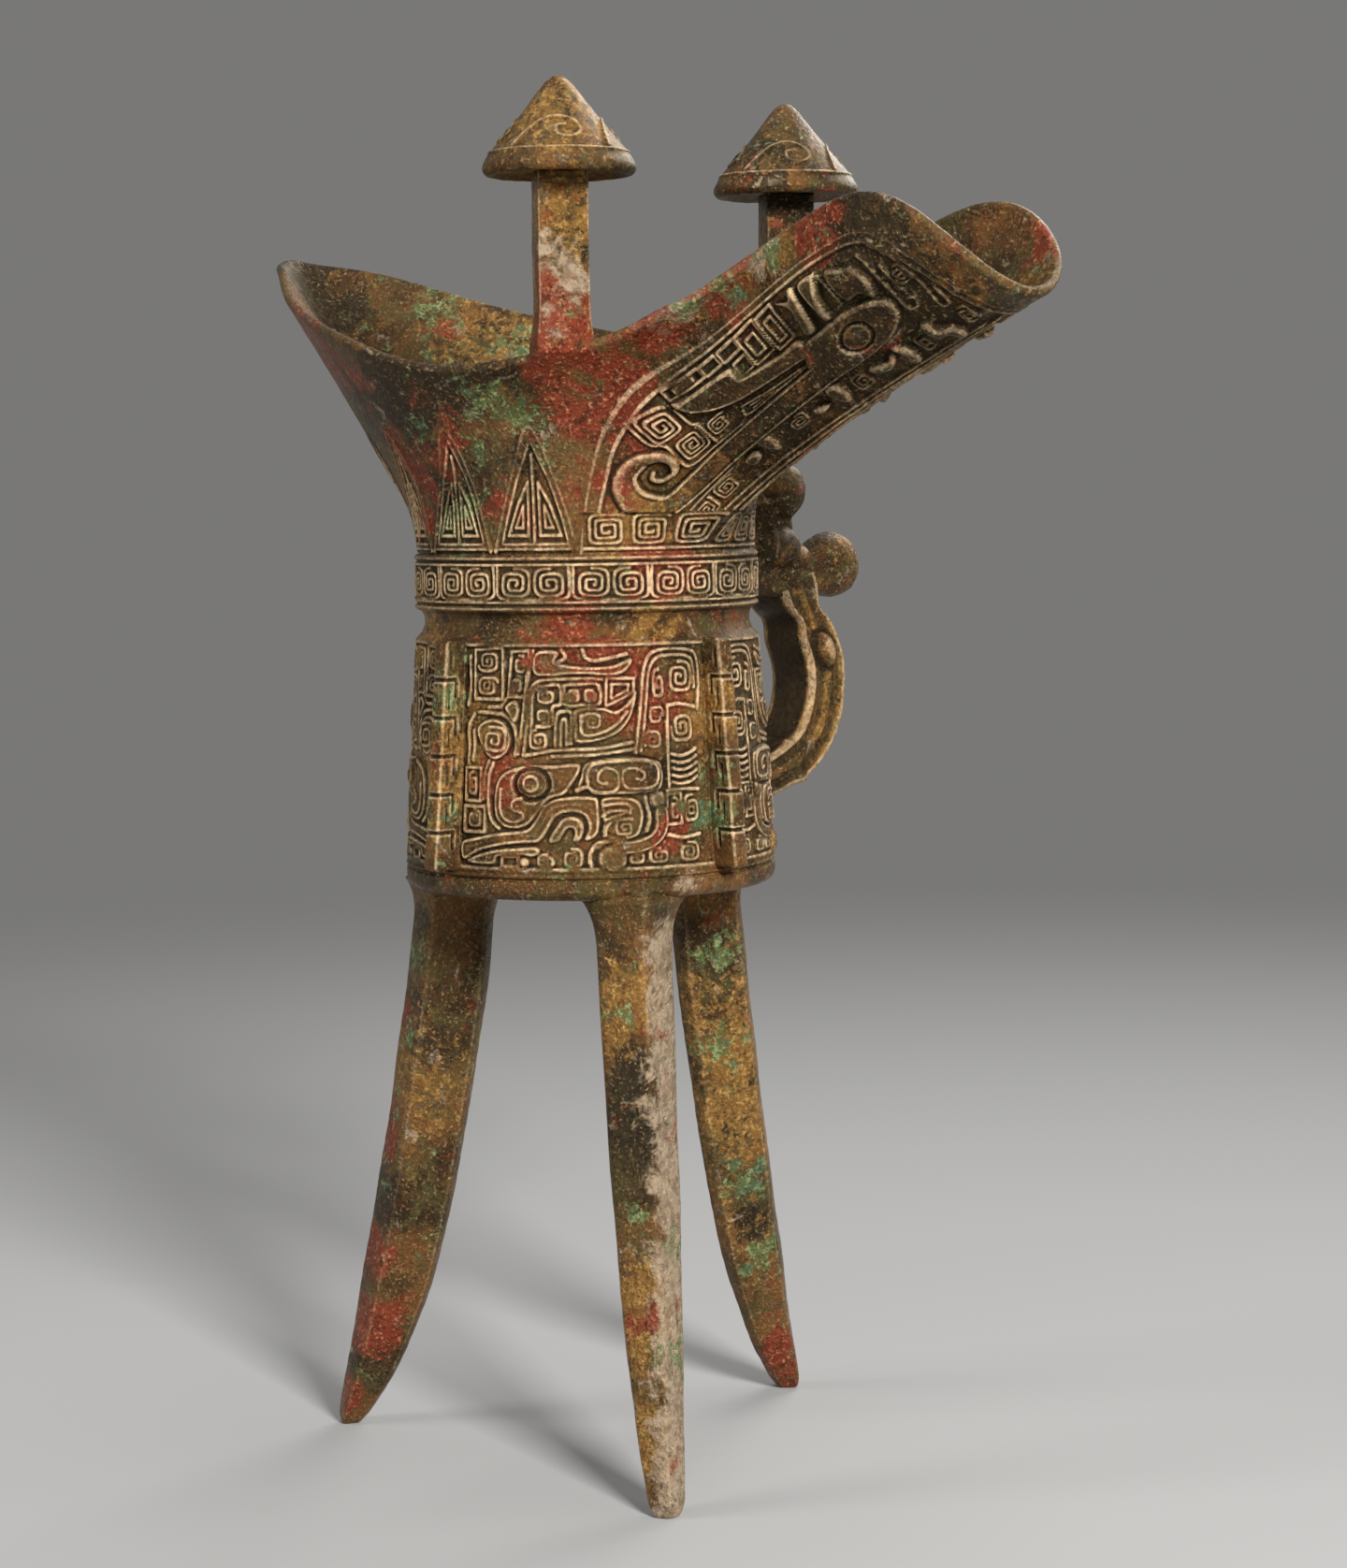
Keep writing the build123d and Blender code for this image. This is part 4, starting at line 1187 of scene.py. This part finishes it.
def rounded(corners, cut, fullness, edge_worn):
    """Outline of rows of corners with rounded corners and slightly full sides, and its worn marks."""
    count = corners.shape[1]
    outline = []
    wear_and_shade = []
    for k in range(count):
        here = corners[:, k]
        following = corners[:, (k + 1) % count]
        before = here + cut * (corners[:, k - 1] - here)
        after = here + cut * (following - here)
        for share in (0.0, 0.25, 0.5, 0.75, 1.0):
            outline.append((1 - share) ** 2 * before + 2 * share * (1 - share) * here + share ** 2 * after)
            wear_and_shade.append(plain_worn + (edge_worn - plain_worn) * (1 - 2 * abs(share - 0.5)))
        end = following + cut * (here - following)
        along = end - after
        inward = np.stack([-along[:, 1], along[:, 0]], -1)
        for share in (0.12, 0.25, 0.5, 0.75, 0.88):
            outline.append(after + share * along - fullness * 4 * share * (1 - share) * inward)
            wear_and_shade.append(plain_worn)
    return np.stack(outline, 1), np.array(wear_and_shade)


def leg(name, root, foot):
    """Blade leg with a keeled outer side, spreading where it meets the floor of the vessel."""
    corner_share = 0.4
    inner_half = 0.15
    keel_spread = 0.1
    foot_shrink = 0.4
    rows = curve(leg_stations, steps=24)
    share, ridge_at, inner_at, width = rows.T
    height = np.clip(share, 0, 1) * leg_height
    corner_at = ridge_at - corner_share * (ridge_at - inner_at)
    reaches = (ridge_at, corner_at, inner_at, inner_at, corner_at)
    offs = (0, 0.5, inner_half, -inner_half, -0.5)
    corners = np.stack([np.stack([reach, off * width], -1) for reach, off in zip(reaches, offs)], 1)
    middle = corners.mean(axis=1, keepdims=True)
    near_top = np.clip((height - (leg_height - collar_height)) / collar_height, 0, 1)
    outward = corners - middle
    outward[:, 0] *= keel_spread
    corners = corners + unit(outward) * (collar_spread * near_top ** 3)[:, None, None]
    tip = np.clip(1 - height / foot_round, 0, 1)
    shrink = 1 - foot_shrink * (1 - np.sqrt(1 - tip ** 2))
    corners = middle + (corners - middle) * shrink[:, None, None]

    # The root runs up into the base of the vessel, drawn in to just under its side
    steps = np.linspace(0.2, 1, 5)
    top = corners[-1:]
    drawn_in = np.minimum(top[..., 0], base_radius - leg_root_inset)
    rising = [np.stack([top[..., 0] + s ** 0.6 * (drawn_in - top[..., 0]), top[..., 1]], -1) for s in steps]
    corners = np.concatenate([corners] + rising)
    height = np.concatenate([height, leg_height + leg_root_rise * steps])
    outline, wear_and_shade = rounded(corners, cut=0.16, fullness=0.03, edge_worn=0.62)
    angle = np.radians(foot + (root - foot) * np.minimum(height / leg_height, 1))[:, None]
    x, y = turned(outline[..., 0], outline[..., 1], angle)
    grid = np.stack([x, y, np.broadcast_to(height[:, None], x.shape)], -1)
    uneven = lumps(grid, depth=0.16, size=1.6) * smooth_step(height, 0.5, 4)[:, None]
    tube_piece(name + "_blade", grid + normals(grid) * uneven[..., None], wear_and_shade, name)


for name, (root, foot) in leg_bearings.items():
    leg(name, root, foot)

# Posts and caps
post_place = (22.06, 24.91)
post_rim = (23.1, 27.4)
post_inset = 2.7
post_foot_inset = 1.6
post_side = 7.8
post_turn = math.radians(-35)
post_foot = 172.5
post_depth = 7
post_notch = 6.0
post_bearing = 84
post_power = 2.15
post_outward = np.array([0.386, 0.923])
post_seats = {"near": 205.1, "far": 204.3}
cap_path = [
    (0.05, 1.5), (4.2, 1.4), (8.8, 0.7), (10.6, 0.05), (11.3, 0.25), (11.65, 0.8), (11.68, 1.4), (11.35, 2.2),
    (10.35, 3.75), (8.2, 6.3), (5.2, 9.9), (3.0, 12.7), (1.9, 14.0), (1.1, 14.7), (0.5, 14.95), (0.05, 15.0),
]
cap_columns = 300
cap_step = 0.16

# Whorls on the caps: one quarter, across in degrees over eight, up the slope in millimetres
whorl_scale = 8.0
whorl_foot = 0.5
whorl = drawing(0, 90 / whorl_scale, 0, 18)
ridge(whorl, [(-1, 2.6), (13, 2.6)], 0.35, 0.22)
whorl_line = [
    (0.6, 3.2), (1.4, 5.8), (3.2, 8.2), (5.8, 9.0), (8.2, 8.0), (8.8, 6.0), (7.4, 4.7), (5.8, 5.3),
    (5.6, 6.8), (6.8, 7.2),
]
draw(whorl, [whorl_line], 0.45, 0.24)
finish_drawing(whorl)


def post(side, sign):
    """Square post with keen edges, whose foot goes down into the wall of the mouth."""
    close_rows_top = 188
    into_cap = 0.6
    swelling = 0.16
    skin = 0.5
    free_room = 4.2
    sharpness = 2.5
    rim_height = post_foot + post_notch
    heights = np.concatenate([
        np.linspace(post_foot - post_depth, close_rows_top, 70),
        np.linspace(close_rows_top + 0.5, post_seats[side] + into_cap, 30),
    ])
    climb = np.clip((heights - band_top) / (rim_height - band_top), 0, 1) ** post_power
    start = at_neck(post_bearing)
    free = smooth_step(heights, rim_height - 9, rim_height - 0.5)
    inset = post_foot_inset + (post_inset - post_foot_inset) * free
    middle = start + (np.array(post_rim) - start) * climb[:, None] - post_outward * inset[:, None]
    middle = middle * (1, sign)
    outward = post_outward * (1, sign)
    widen = 1 + swelling * bell(heights, rim_height + 0.5, 3.5)
    reach = (post_side / 2 * widen)[:, None]
    corners = np.stack([reach * np.array(way) for way in ((1, 1), (-1, 1), (-1, -1), (1, -1))], 1)
    outline, wear_and_shade = rounded(corners, cut=0.07, fullness=0.02, edge_worn=0.70)
    wear_and_shade = plain_worn + (wear_and_shade - plain_worn) * smooth_step(heights, rim_height - 2, rim_height + 6)[:, None]
    section = np.stack(turned(outline[..., 0], outline[..., 1], post_turn), -1)

    # Below the rim the section softly stops short of the outside of the wall
    limit = (inset - skin + free_room * smooth_step(heights, rim_height - 13, rim_height + 3))[:, None]
    out = section @ outward
    kept = limit - np.logaddexp(0, sharpness * (limit - out)) / sharpness
    kept = np.maximum(kept, -1 - 6 * free[:, None])
    flat = middle[:, None] + section + (kept - out)[..., None] * outward
    grid = np.concatenate([flat, np.broadcast_to(heights[:, None, None], flat.shape[:2] + (1,))], -1)
    grid = grid + normals(grid) * lumps(grid, depth=0.1, size=1.3)[..., None]
    tube_piece(f"post_{side}_shaft", grid, wear_and_shade, f"post_{side}")


def cap(side, sign):
    """Conical cap with a rolled lip and raised whorls."""
    line = resample(curve(cap_path, steps=6), cap_step)
    radius, height = line[:, :1], line[:, 1:]
    along = travelled(line)[:, None]
    angle = np.linspace(0, 2 * math.pi, cap_columns, endpoint=False)
    grid = upright(radius, angle, post_seats[side] + height) + (post_place[0], sign * post_place[1], 0)
    above_lip = along - along[np.argmax(radius)]
    up, across = np.broadcast_arrays(above_lip, np.mod(np.degrees(angle), 90) / whorl_scale)
    lift = np.where(up > whorl_foot, read(whorl, "height", across, up), 0.0)
    wear_and_shade = np.where(up > whorl_foot, 0.12 + 0.76 * read(whorl, "wear_and_shade", across, up), plain_worn)
    lift = lift + lumps(grid, depth=0.1, size=1.2) * smooth_step(radius, 0.5, 3)
    grid_piece(f"cap_{side}_cone", grid + normals(grid) * lift[..., None], wear_and_shade, f"cap_{side}", closed=True)


for side, sign in (("near", -1), ("far", 1)):
    post(side, sign)
    cap(side, sign)

# Flanges: section from one side of the root over the notched edge to the other side
flange_bearings = {"flange_front": -90, "flange_spout": 0, "flange_tail": 180}
flange_half = 1.5
flange_foot_radius = 34.8
flange_top_radius = 31.5
flange_segments = 6
hooks = drawing(-1, 6, 0, panel_top - panel_bottom)
pitch = (panel_top - panel_bottom) / flange_segments
for index in range(1, flange_segments):
    level = index * pitch
    groove(hooks, [(6, level), (1.3, level), (1.3, level - 2.6)], 0.4, 0.32, 0.0)
    groove(hooks, [(2.6, level + 1.6), (2.6, level + 4.2)], 0.35, 0.25, 0.0)
finish_drawing(hooks)


def flange(name, bearing):
    """Upright flange with a notched edge and cut hooks on both sides."""
    root_depth = 0.6
    round_edge = 0.55
    notch_depth = 0.35
    end_drop = 0.5
    end_thinning = 0.4
    edge_worn = 0.22
    height = np.linspace(0, panel_top - panel_bottom, 260)
    climb = height / height[-1]
    root = base_radius + (panel_top_radius - base_radius) * climb
    tip = flange_foot_radius + (flange_top_radius - flange_foot_radius) * climb
    off_notch = np.abs(np.mod(height / pitch + 0.5, 1) - 0.5) * pitch
    inner_part = (height > pitch / 2) & (height < height[-1] - pitch / 2)
    notch = np.where(inner_part, notch_depth * (1 - smooth_step(off_notch, 0.16, 0.4)), 0.0)
    end = end_drop * smooth_step(np.minimum(height, height[-1] - height), 0.0, 0.5) - end_drop
    steps = np.linspace(0, 1, 22)
    bend = np.radians(np.linspace(0, 90, 6))
    on_bend = slice(len(steps), None)
    out = np.concatenate([steps, np.ones(len(bend))])
    depth = tip - notch + end - root + root_depth - round_edge
    side_out = root[:, None] - root_depth + depth[:, None] * out
    side_out[:, on_bend] += round_edge * np.sin(bend)
    from_wall = side_out - root[:, None]
    level = np.broadcast_to(height[:, None], side_out.shape)
    cut = read(hooks, "height", from_wall, level)
    cut[:, on_bend] *= np.cos(bend)
    side_off = flange_half + cut + end[:, None] * end_thinning
    side_off[:, on_bend] += round_edge * (np.cos(bend) - 1)
    wear_and_shade = read(hooks, "wear_and_shade", from_wall, level)
    wear_and_shade[:, on_bend] += edge_worn * np.sin(2 * bend)
    out_all = np.concatenate([side_out, side_out[:, ::-1]], 1)
    off_all = np.concatenate([-side_off, side_off[:, ::-1]], 1)
    marks = np.concatenate([wear_and_shade, wear_and_shade[:, ::-1]], 1)
    x, y = turned(out_all, off_all, math.radians(bearing))
    grid = np.stack([x, y, np.broadcast_to(panel_bottom + height[:, None], x.shape)], -1)
    tube_piece(name + "_plate", grid + lumps(grid, depth=0.06)[..., None], marks, name)


for name, bearing in flange_bearings.items():
    flange(name, bearing)

# Handle strap: middle line as reach from the wall pad, height over the foot, and thickness
strap_start = (31.0, 107.9)
strap_stations = [
    (-1.5, 0.0, 7.0),
    (4.0, 0.2, 7.0),
    (8.6, 0.9, 7.0),
    (16.4, 4.6, 7.9),
    (20.7, 10.7, 8.8),
    (21.6, 18.3, 8.8),
    (19.0, 25.0, 8.4),
    (15.8, 30.5, 8.6),
    (14.5, 33.5, 8.6),
]
strap_half = 5.0


def strap():
    """Curved strap whose sides have two raised edges with a channel between."""
    corner_cut = 0.9
    boss_height = 2.0
    crown_height = 0.25
    line = curve(strap_stations, steps=20)
    along = unit(np.gradient(line[:, :2], axis=0))
    outward = np.stack([along[:, 1], -along[:, 0]], -1)
    travel = travelled(line[:, :2])
    share = (travel / travel[-1])[:, None]
    waist = 1 - 0.34 * bell(share, 0.88, 0.05)
    collar = 0.5 * bell(share, 0.30, 0.02)
    thick = line[:, 2:] * waist / 2 + collar
    side_turn = np.linspace(-1, 1, 25)
    off_middle = np.abs(side_turn)
    channel = 0.55 * smooth_step(off_middle, 0.78, 0.62) - 0.35 * smooth_step(off_middle, 0.30, 0.10)
    corner = corner_cut * smooth_step(off_middle, 0.86, 1.0) ** 2
    off_boss = np.hypot((share - 0.74) / 0.065, side_turn / 0.55)
    boss = boss_height * np.sqrt(np.clip(1 - off_boss ** 2, 0, 1))
    side_off = strap_half - channel - corner + boss + collar
    face_turn = np.linspace(-1, 1, 12)[1:-1]
    crown = crown_height * (1 - face_turn ** 2)
    flat_face = np.ones((len(line), len(face_turn)))
    face_off = flat_face * face_turn * (strap_half - corner_cut)
    off = np.concatenate([side_off, -face_off, -side_off[:, ::-1], face_off], 1)
    out = np.concatenate([side_turn * thick, thick + crown, side_turn[::-1] * thick, -thick - crown], 1)
    worn_side = plain_worn + 0.2 * smooth_step(off_middle, 0.6, 0.8) - 0.25 * smooth_step(channel, 0.2, 0.5)
    worn_side = worn_side - 0.45 * bell(off_boss, 1.1, 0.15) + 0.2 * smooth_step(off_boss, 0.9, 0.4)
    # The inner face, toward the vessel, gets a mark of 0 and so the darkest colour: painted shade
    wear_and_shade = np.concatenate([worn_side, plain_worn * flat_face, worn_side[:, ::-1], 0 * flat_face], 1)
    reach = strap_start[0] + line[:, :1] + outward[:, :1] * out
    height = strap_start[1] + line[:, 1:2] + outward[:, 1:] * out
    grid = np.stack([off, reach, height], -1)
    tube_piece("handle_loop_strap", grid + lumps(grid, depth=0.08)[..., None], wear_and_shade, "handle_loop")


strap()


def lump(middle, sizes, count=24):
    """Closed ball with three half sizes, as rows of points."""
    turn = np.linspace(0, 2 * math.pi, 2 * count, endpoint=False)
    rise_turn = np.linspace(-0.499 * math.pi, 0.499 * math.pi, count)[:, None]
    ball = upright(np.cos(rise_turn), turn, np.sin(rise_turn))
    return capped(np.array(middle, float) + ball * np.array(sizes, float))


def stem(start, end, radii, count=32):
    """Round bar between two points whose radius follows a list at equal steps."""
    start, end = np.array(start, float), np.array(end, float)
    along = unit(end - start)
    across = unit(np.cross(along, (1.0, 0.0, 0.0)))
    third = np.cross(along, across)
    turn = np.linspace(0, 2 * math.pi, count, endpoint=False)[:, None]
    circle = np.cos(turn) * across + np.sin(turn) * third
    steps = np.linspace(0, 1, len(radii))
    rows = [start + share * (end - start) + radius * circle for share, radius in zip(steps, radii)]
    return capped(np.stack(rows))


def slab(outline, half):
    """Plate with an outline in the upright plane of the handle, half its width to each side."""
    line = resample(joined(outline), 0.8)[:-1]
    rows = [np.column_stack([np.full(len(line), off), line]) for off in np.linspace(-half, half, 10)]
    return capped(np.stack(rows))


def vertex_values(mesh, key):
    """Positions or normals of the vertices of a mesh."""
    values = np.zeros(3 * len(mesh.vertices), np.float32)
    mesh.vertices.foreach_get(key, values)
    return values.reshape(-1, 3)


def melted(name, solids, *nodes):
    """One smooth piece in place of several closed shapes that run into each other."""
    voxel = 0.00036
    points, faces = [], []
    total = 0
    for grid in solids:
        rows, columns = grid.shape[:2]
        faces.append(total + quads(rows, columns, closed=True))
        points.append(grid.reshape(-1, 3))
        total += rows * columns
    rough = mesh_piece(name + "_rough", np.vstack(points), np.vstack(faces))
    merge = rough.modifiers.new("merge", "REMESH")
    merge.mode = "VOXEL"
    merge.voxel_size = voxel
    merge.use_smooth_shade = True
    soften = rough.modifiers.new("soften", "SMOOTH")
    soften.factor = 0.5
    soften.iterations = 5
    mesh = bpy.data.meshes.new_from_object(rough.evaluated_get(bpy.context.evaluated_depsgraph_get()))
    bpy.data.objects.remove(rough)
    spots = vertex_values(mesh, "co") * 1000 - np.array([axis_x * 1000, axis_y * 1000, 0.0])
    spots = spots + vertex_values(mesh, "normal") * lumps(spots, depth=0.22, size=0.9)[:, None]
    mesh.vertices.foreach_set("co", place(spots).astype(np.float32).ravel())
    mesh.update()
    return finish_piece(add_object(name, mesh), spots, plain_worn, *nodes)


# Beast head on the handle, from the pad on the wall out to the knob of its snout
head_outline = [
    (31.0, 143.1), (35.6, 141.6), (42.6, 138.6), (50.6, 138.5), (50.8, 145.0), (44.6, 149.6), (44.0, 158.0),
    (41.4, 160.6), (31.0, 158.6),
]
head_solids = [
    slab(head_outline, 4.4),
    stem((0, 45.6, 141.2), (0, 61.0, 144.9), (3.6, 3.8, 3.6, 3.5, 3.8, 4.6, 5.4, 5.7, 5.6, 4.6)),
    stem((0, 46.6, 139.4), (0, 46.8, 137.9), (3.9, 3.8)),
]
for side in (-1, 1):
    head_solids += [
        lump((side * 4.0, 42.4, 157.0), (3.4, 4.4, 4.7)),
        lump((side * 4.2, 40.6, 147.4), (3.2, 5.0, 3.6)),
        lump((side * 4.6, 38.6, 152.3), (1.0, 1.1, 1.1)),
        lump((side * 3.4, 46.0, 145.4), (2.4, 3.0, 2.2)),
    ]
melted("handle_head_beast", head_solids, "handle_head")

# Camera as fitted to the photo: about 54 cm from the axis, level with the lower flare, looking a little down
camera_turn = math.radians(46.951)
camera_distance = 543.07
camera_height = 157.686
camera_pitch = math.radians(5.081)
camera_yaw = math.radians(-1.446)
camera_roll = math.radians(-0.803)
focal_pixels = 3551.391
picture_height = 1676
heading = camera_turn + camera_yaw
forward = np.array([
    -math.sin(heading) * math.cos(camera_pitch),
    math.cos(heading) * math.cos(camera_pitch),
    -math.sin(camera_pitch),
])
level_right = np.array([math.cos(heading), math.sin(heading), 0.0])
level_up = np.cross(level_right, forward)
right = math.cos(camera_roll) * level_right + math.sin(camera_roll) * level_up
upward = math.cos(camera_roll) * level_up - math.sin(camera_roll) * level_right
eye = place(np.array([
    camera_distance * math.sin(camera_turn),
    -camera_distance * math.cos(camera_turn),
    camera_height,
]))
lens = bpy.data.cameras.new("photo_camera")
lens.sensor_fit = "VERTICAL"
lens.sensor_height = 36
lens.lens = focal_pixels * lens.sensor_height / picture_height
lens.clip_start = 0.01
camera = add_object("photo_camera", lens)
camera.matrix_world = Matrix([
    (right[0], upward[0], -forward[0], eye[0]),
    (right[1], upward[1], -forward[1], eye[1]),
    (right[2], upward[2], -forward[2], eye[2]),
    (0, 0, 0, 1),
])
bpy.context.scene.camera = camera

# Stage: a pale floor whose far part has the background's own colour, seen or mirrored
background = (0.19, 0.188, 0.182, 1)


def seen_or_mirrored(tree):
    """1 for rays from the camera, a mirror or clear glass, and 0 for light that falls on things."""
    paths = add_node(tree, "ShaderNodeLightPath")
    share = paths.outputs["Is Camera Ray"]
    for name in ("Is Glossy Ray", "Is Transmission Ray"):
        inputs = {0: share, 1: paths.outputs[name]}
        share = add_node(tree, "ShaderNodeMath", inputs, operation="MAXIMUM").outputs[0]
    return share


def blend(tree, share, under, over, end):
    """Ends a node tree with a mix of two shaders."""
    inputs = {0: share, 1: under.outputs[0], 2: over.outputs[0]}
    both = add_node(tree, "ShaderNodeMixShader", inputs)
    connect(tree, both.outputs[0], tree.nodes[end].inputs["Surface"])


floor_half = 3.0
floor_mesh = bpy.data.meshes.new("floor")
floor_corners = [(x, y, 0) for x, y in box_line(-floor_half, -floor_half, floor_half, floor_half)]
floor_mesh.from_pydata(floor_corners, [], [(0, 1, 2, 3)])
floor = add_object("floor", floor_mesh)
floor_paint = bpy.data.materials.new("pale_floor")
floor_paint.use_nodes = True
floor_tree = floor_paint.node_tree
floor_surface = floor_tree.nodes["Principled BSDF"]
floor_surface.inputs["Base Color"].default_value = (0.36, 0.356, 0.348, 1)
floor_surface.inputs["Roughness"].default_value = 0.9
floor_surface.inputs["Specular IOR Level"].default_value = 0.1
glow = add_node(floor_tree, "ShaderNodeEmission", {"Color": background})
spot = add_node(floor_tree, "ShaderNodeTexCoord").outputs["Object"]
away = add_node(floor_tree, "ShaderNodeVectorMath", {0: spot}, operation="LENGTH").outputs["Value"]
fade_range = {"Value": away, "From Min": 0.15, "From Max": 0.8}
fade = add_node(floor_tree, "ShaderNodeMapRange", fade_range, interpolation_type="SMOOTHSTEP")
far_and_seen = {0: seen_or_mirrored(floor_tree), 1: fade.outputs["Result"]}
share = add_node(floor_tree, "ShaderNodeMath", far_and_seen, operation="MULTIPLY").outputs[0]
blend(floor_tree, share, floor_surface, glow, "Material Output")
floor_mesh.materials.append(floor_paint)


def soft_lamp(name, position, size, watts):
    """Square soft lamp that points at the middle of the vessel."""
    data = bpy.data.lights.new(name, "AREA")
    data.size = size
    data.energy = watts
    lamp = add_object(name, data)
    lamp.location = position
    aim = Vector((0, 0, 0.12)) - Vector(position)
    lamp.rotation_euler = aim.to_track_quat("-Z", "Y").to_euler()


soft_lamp("key", (0.95, -0.36, 0.6), 0.26, 23)
soft_lamp("side", (-0.5, -0.8, 0.55), 0.35, 4)
soft_lamp("back", (-0.3, 0.95, 0.7), 0.6, 6)
soft_lamp("top", (0.0, 0.2, 1.2), 0.5, 3)
world = bpy.data.worlds.new("studio")
world.use_nodes = True
sky = world.node_tree
light = sky.nodes["Background"]
light.inputs["Color"].default_value = (0.62, 0.62, 0.62, 1)
light.inputs["Strength"].default_value = 0.18
shown = add_node(sky, "ShaderNodeBackground", {"Color": background})
blend(sky, seen_or_mirrored(sky), light, shown, "World Output")
bpy.context.scene.world = world
bpy.context.scene.view_settings.view_transform = "Standard"
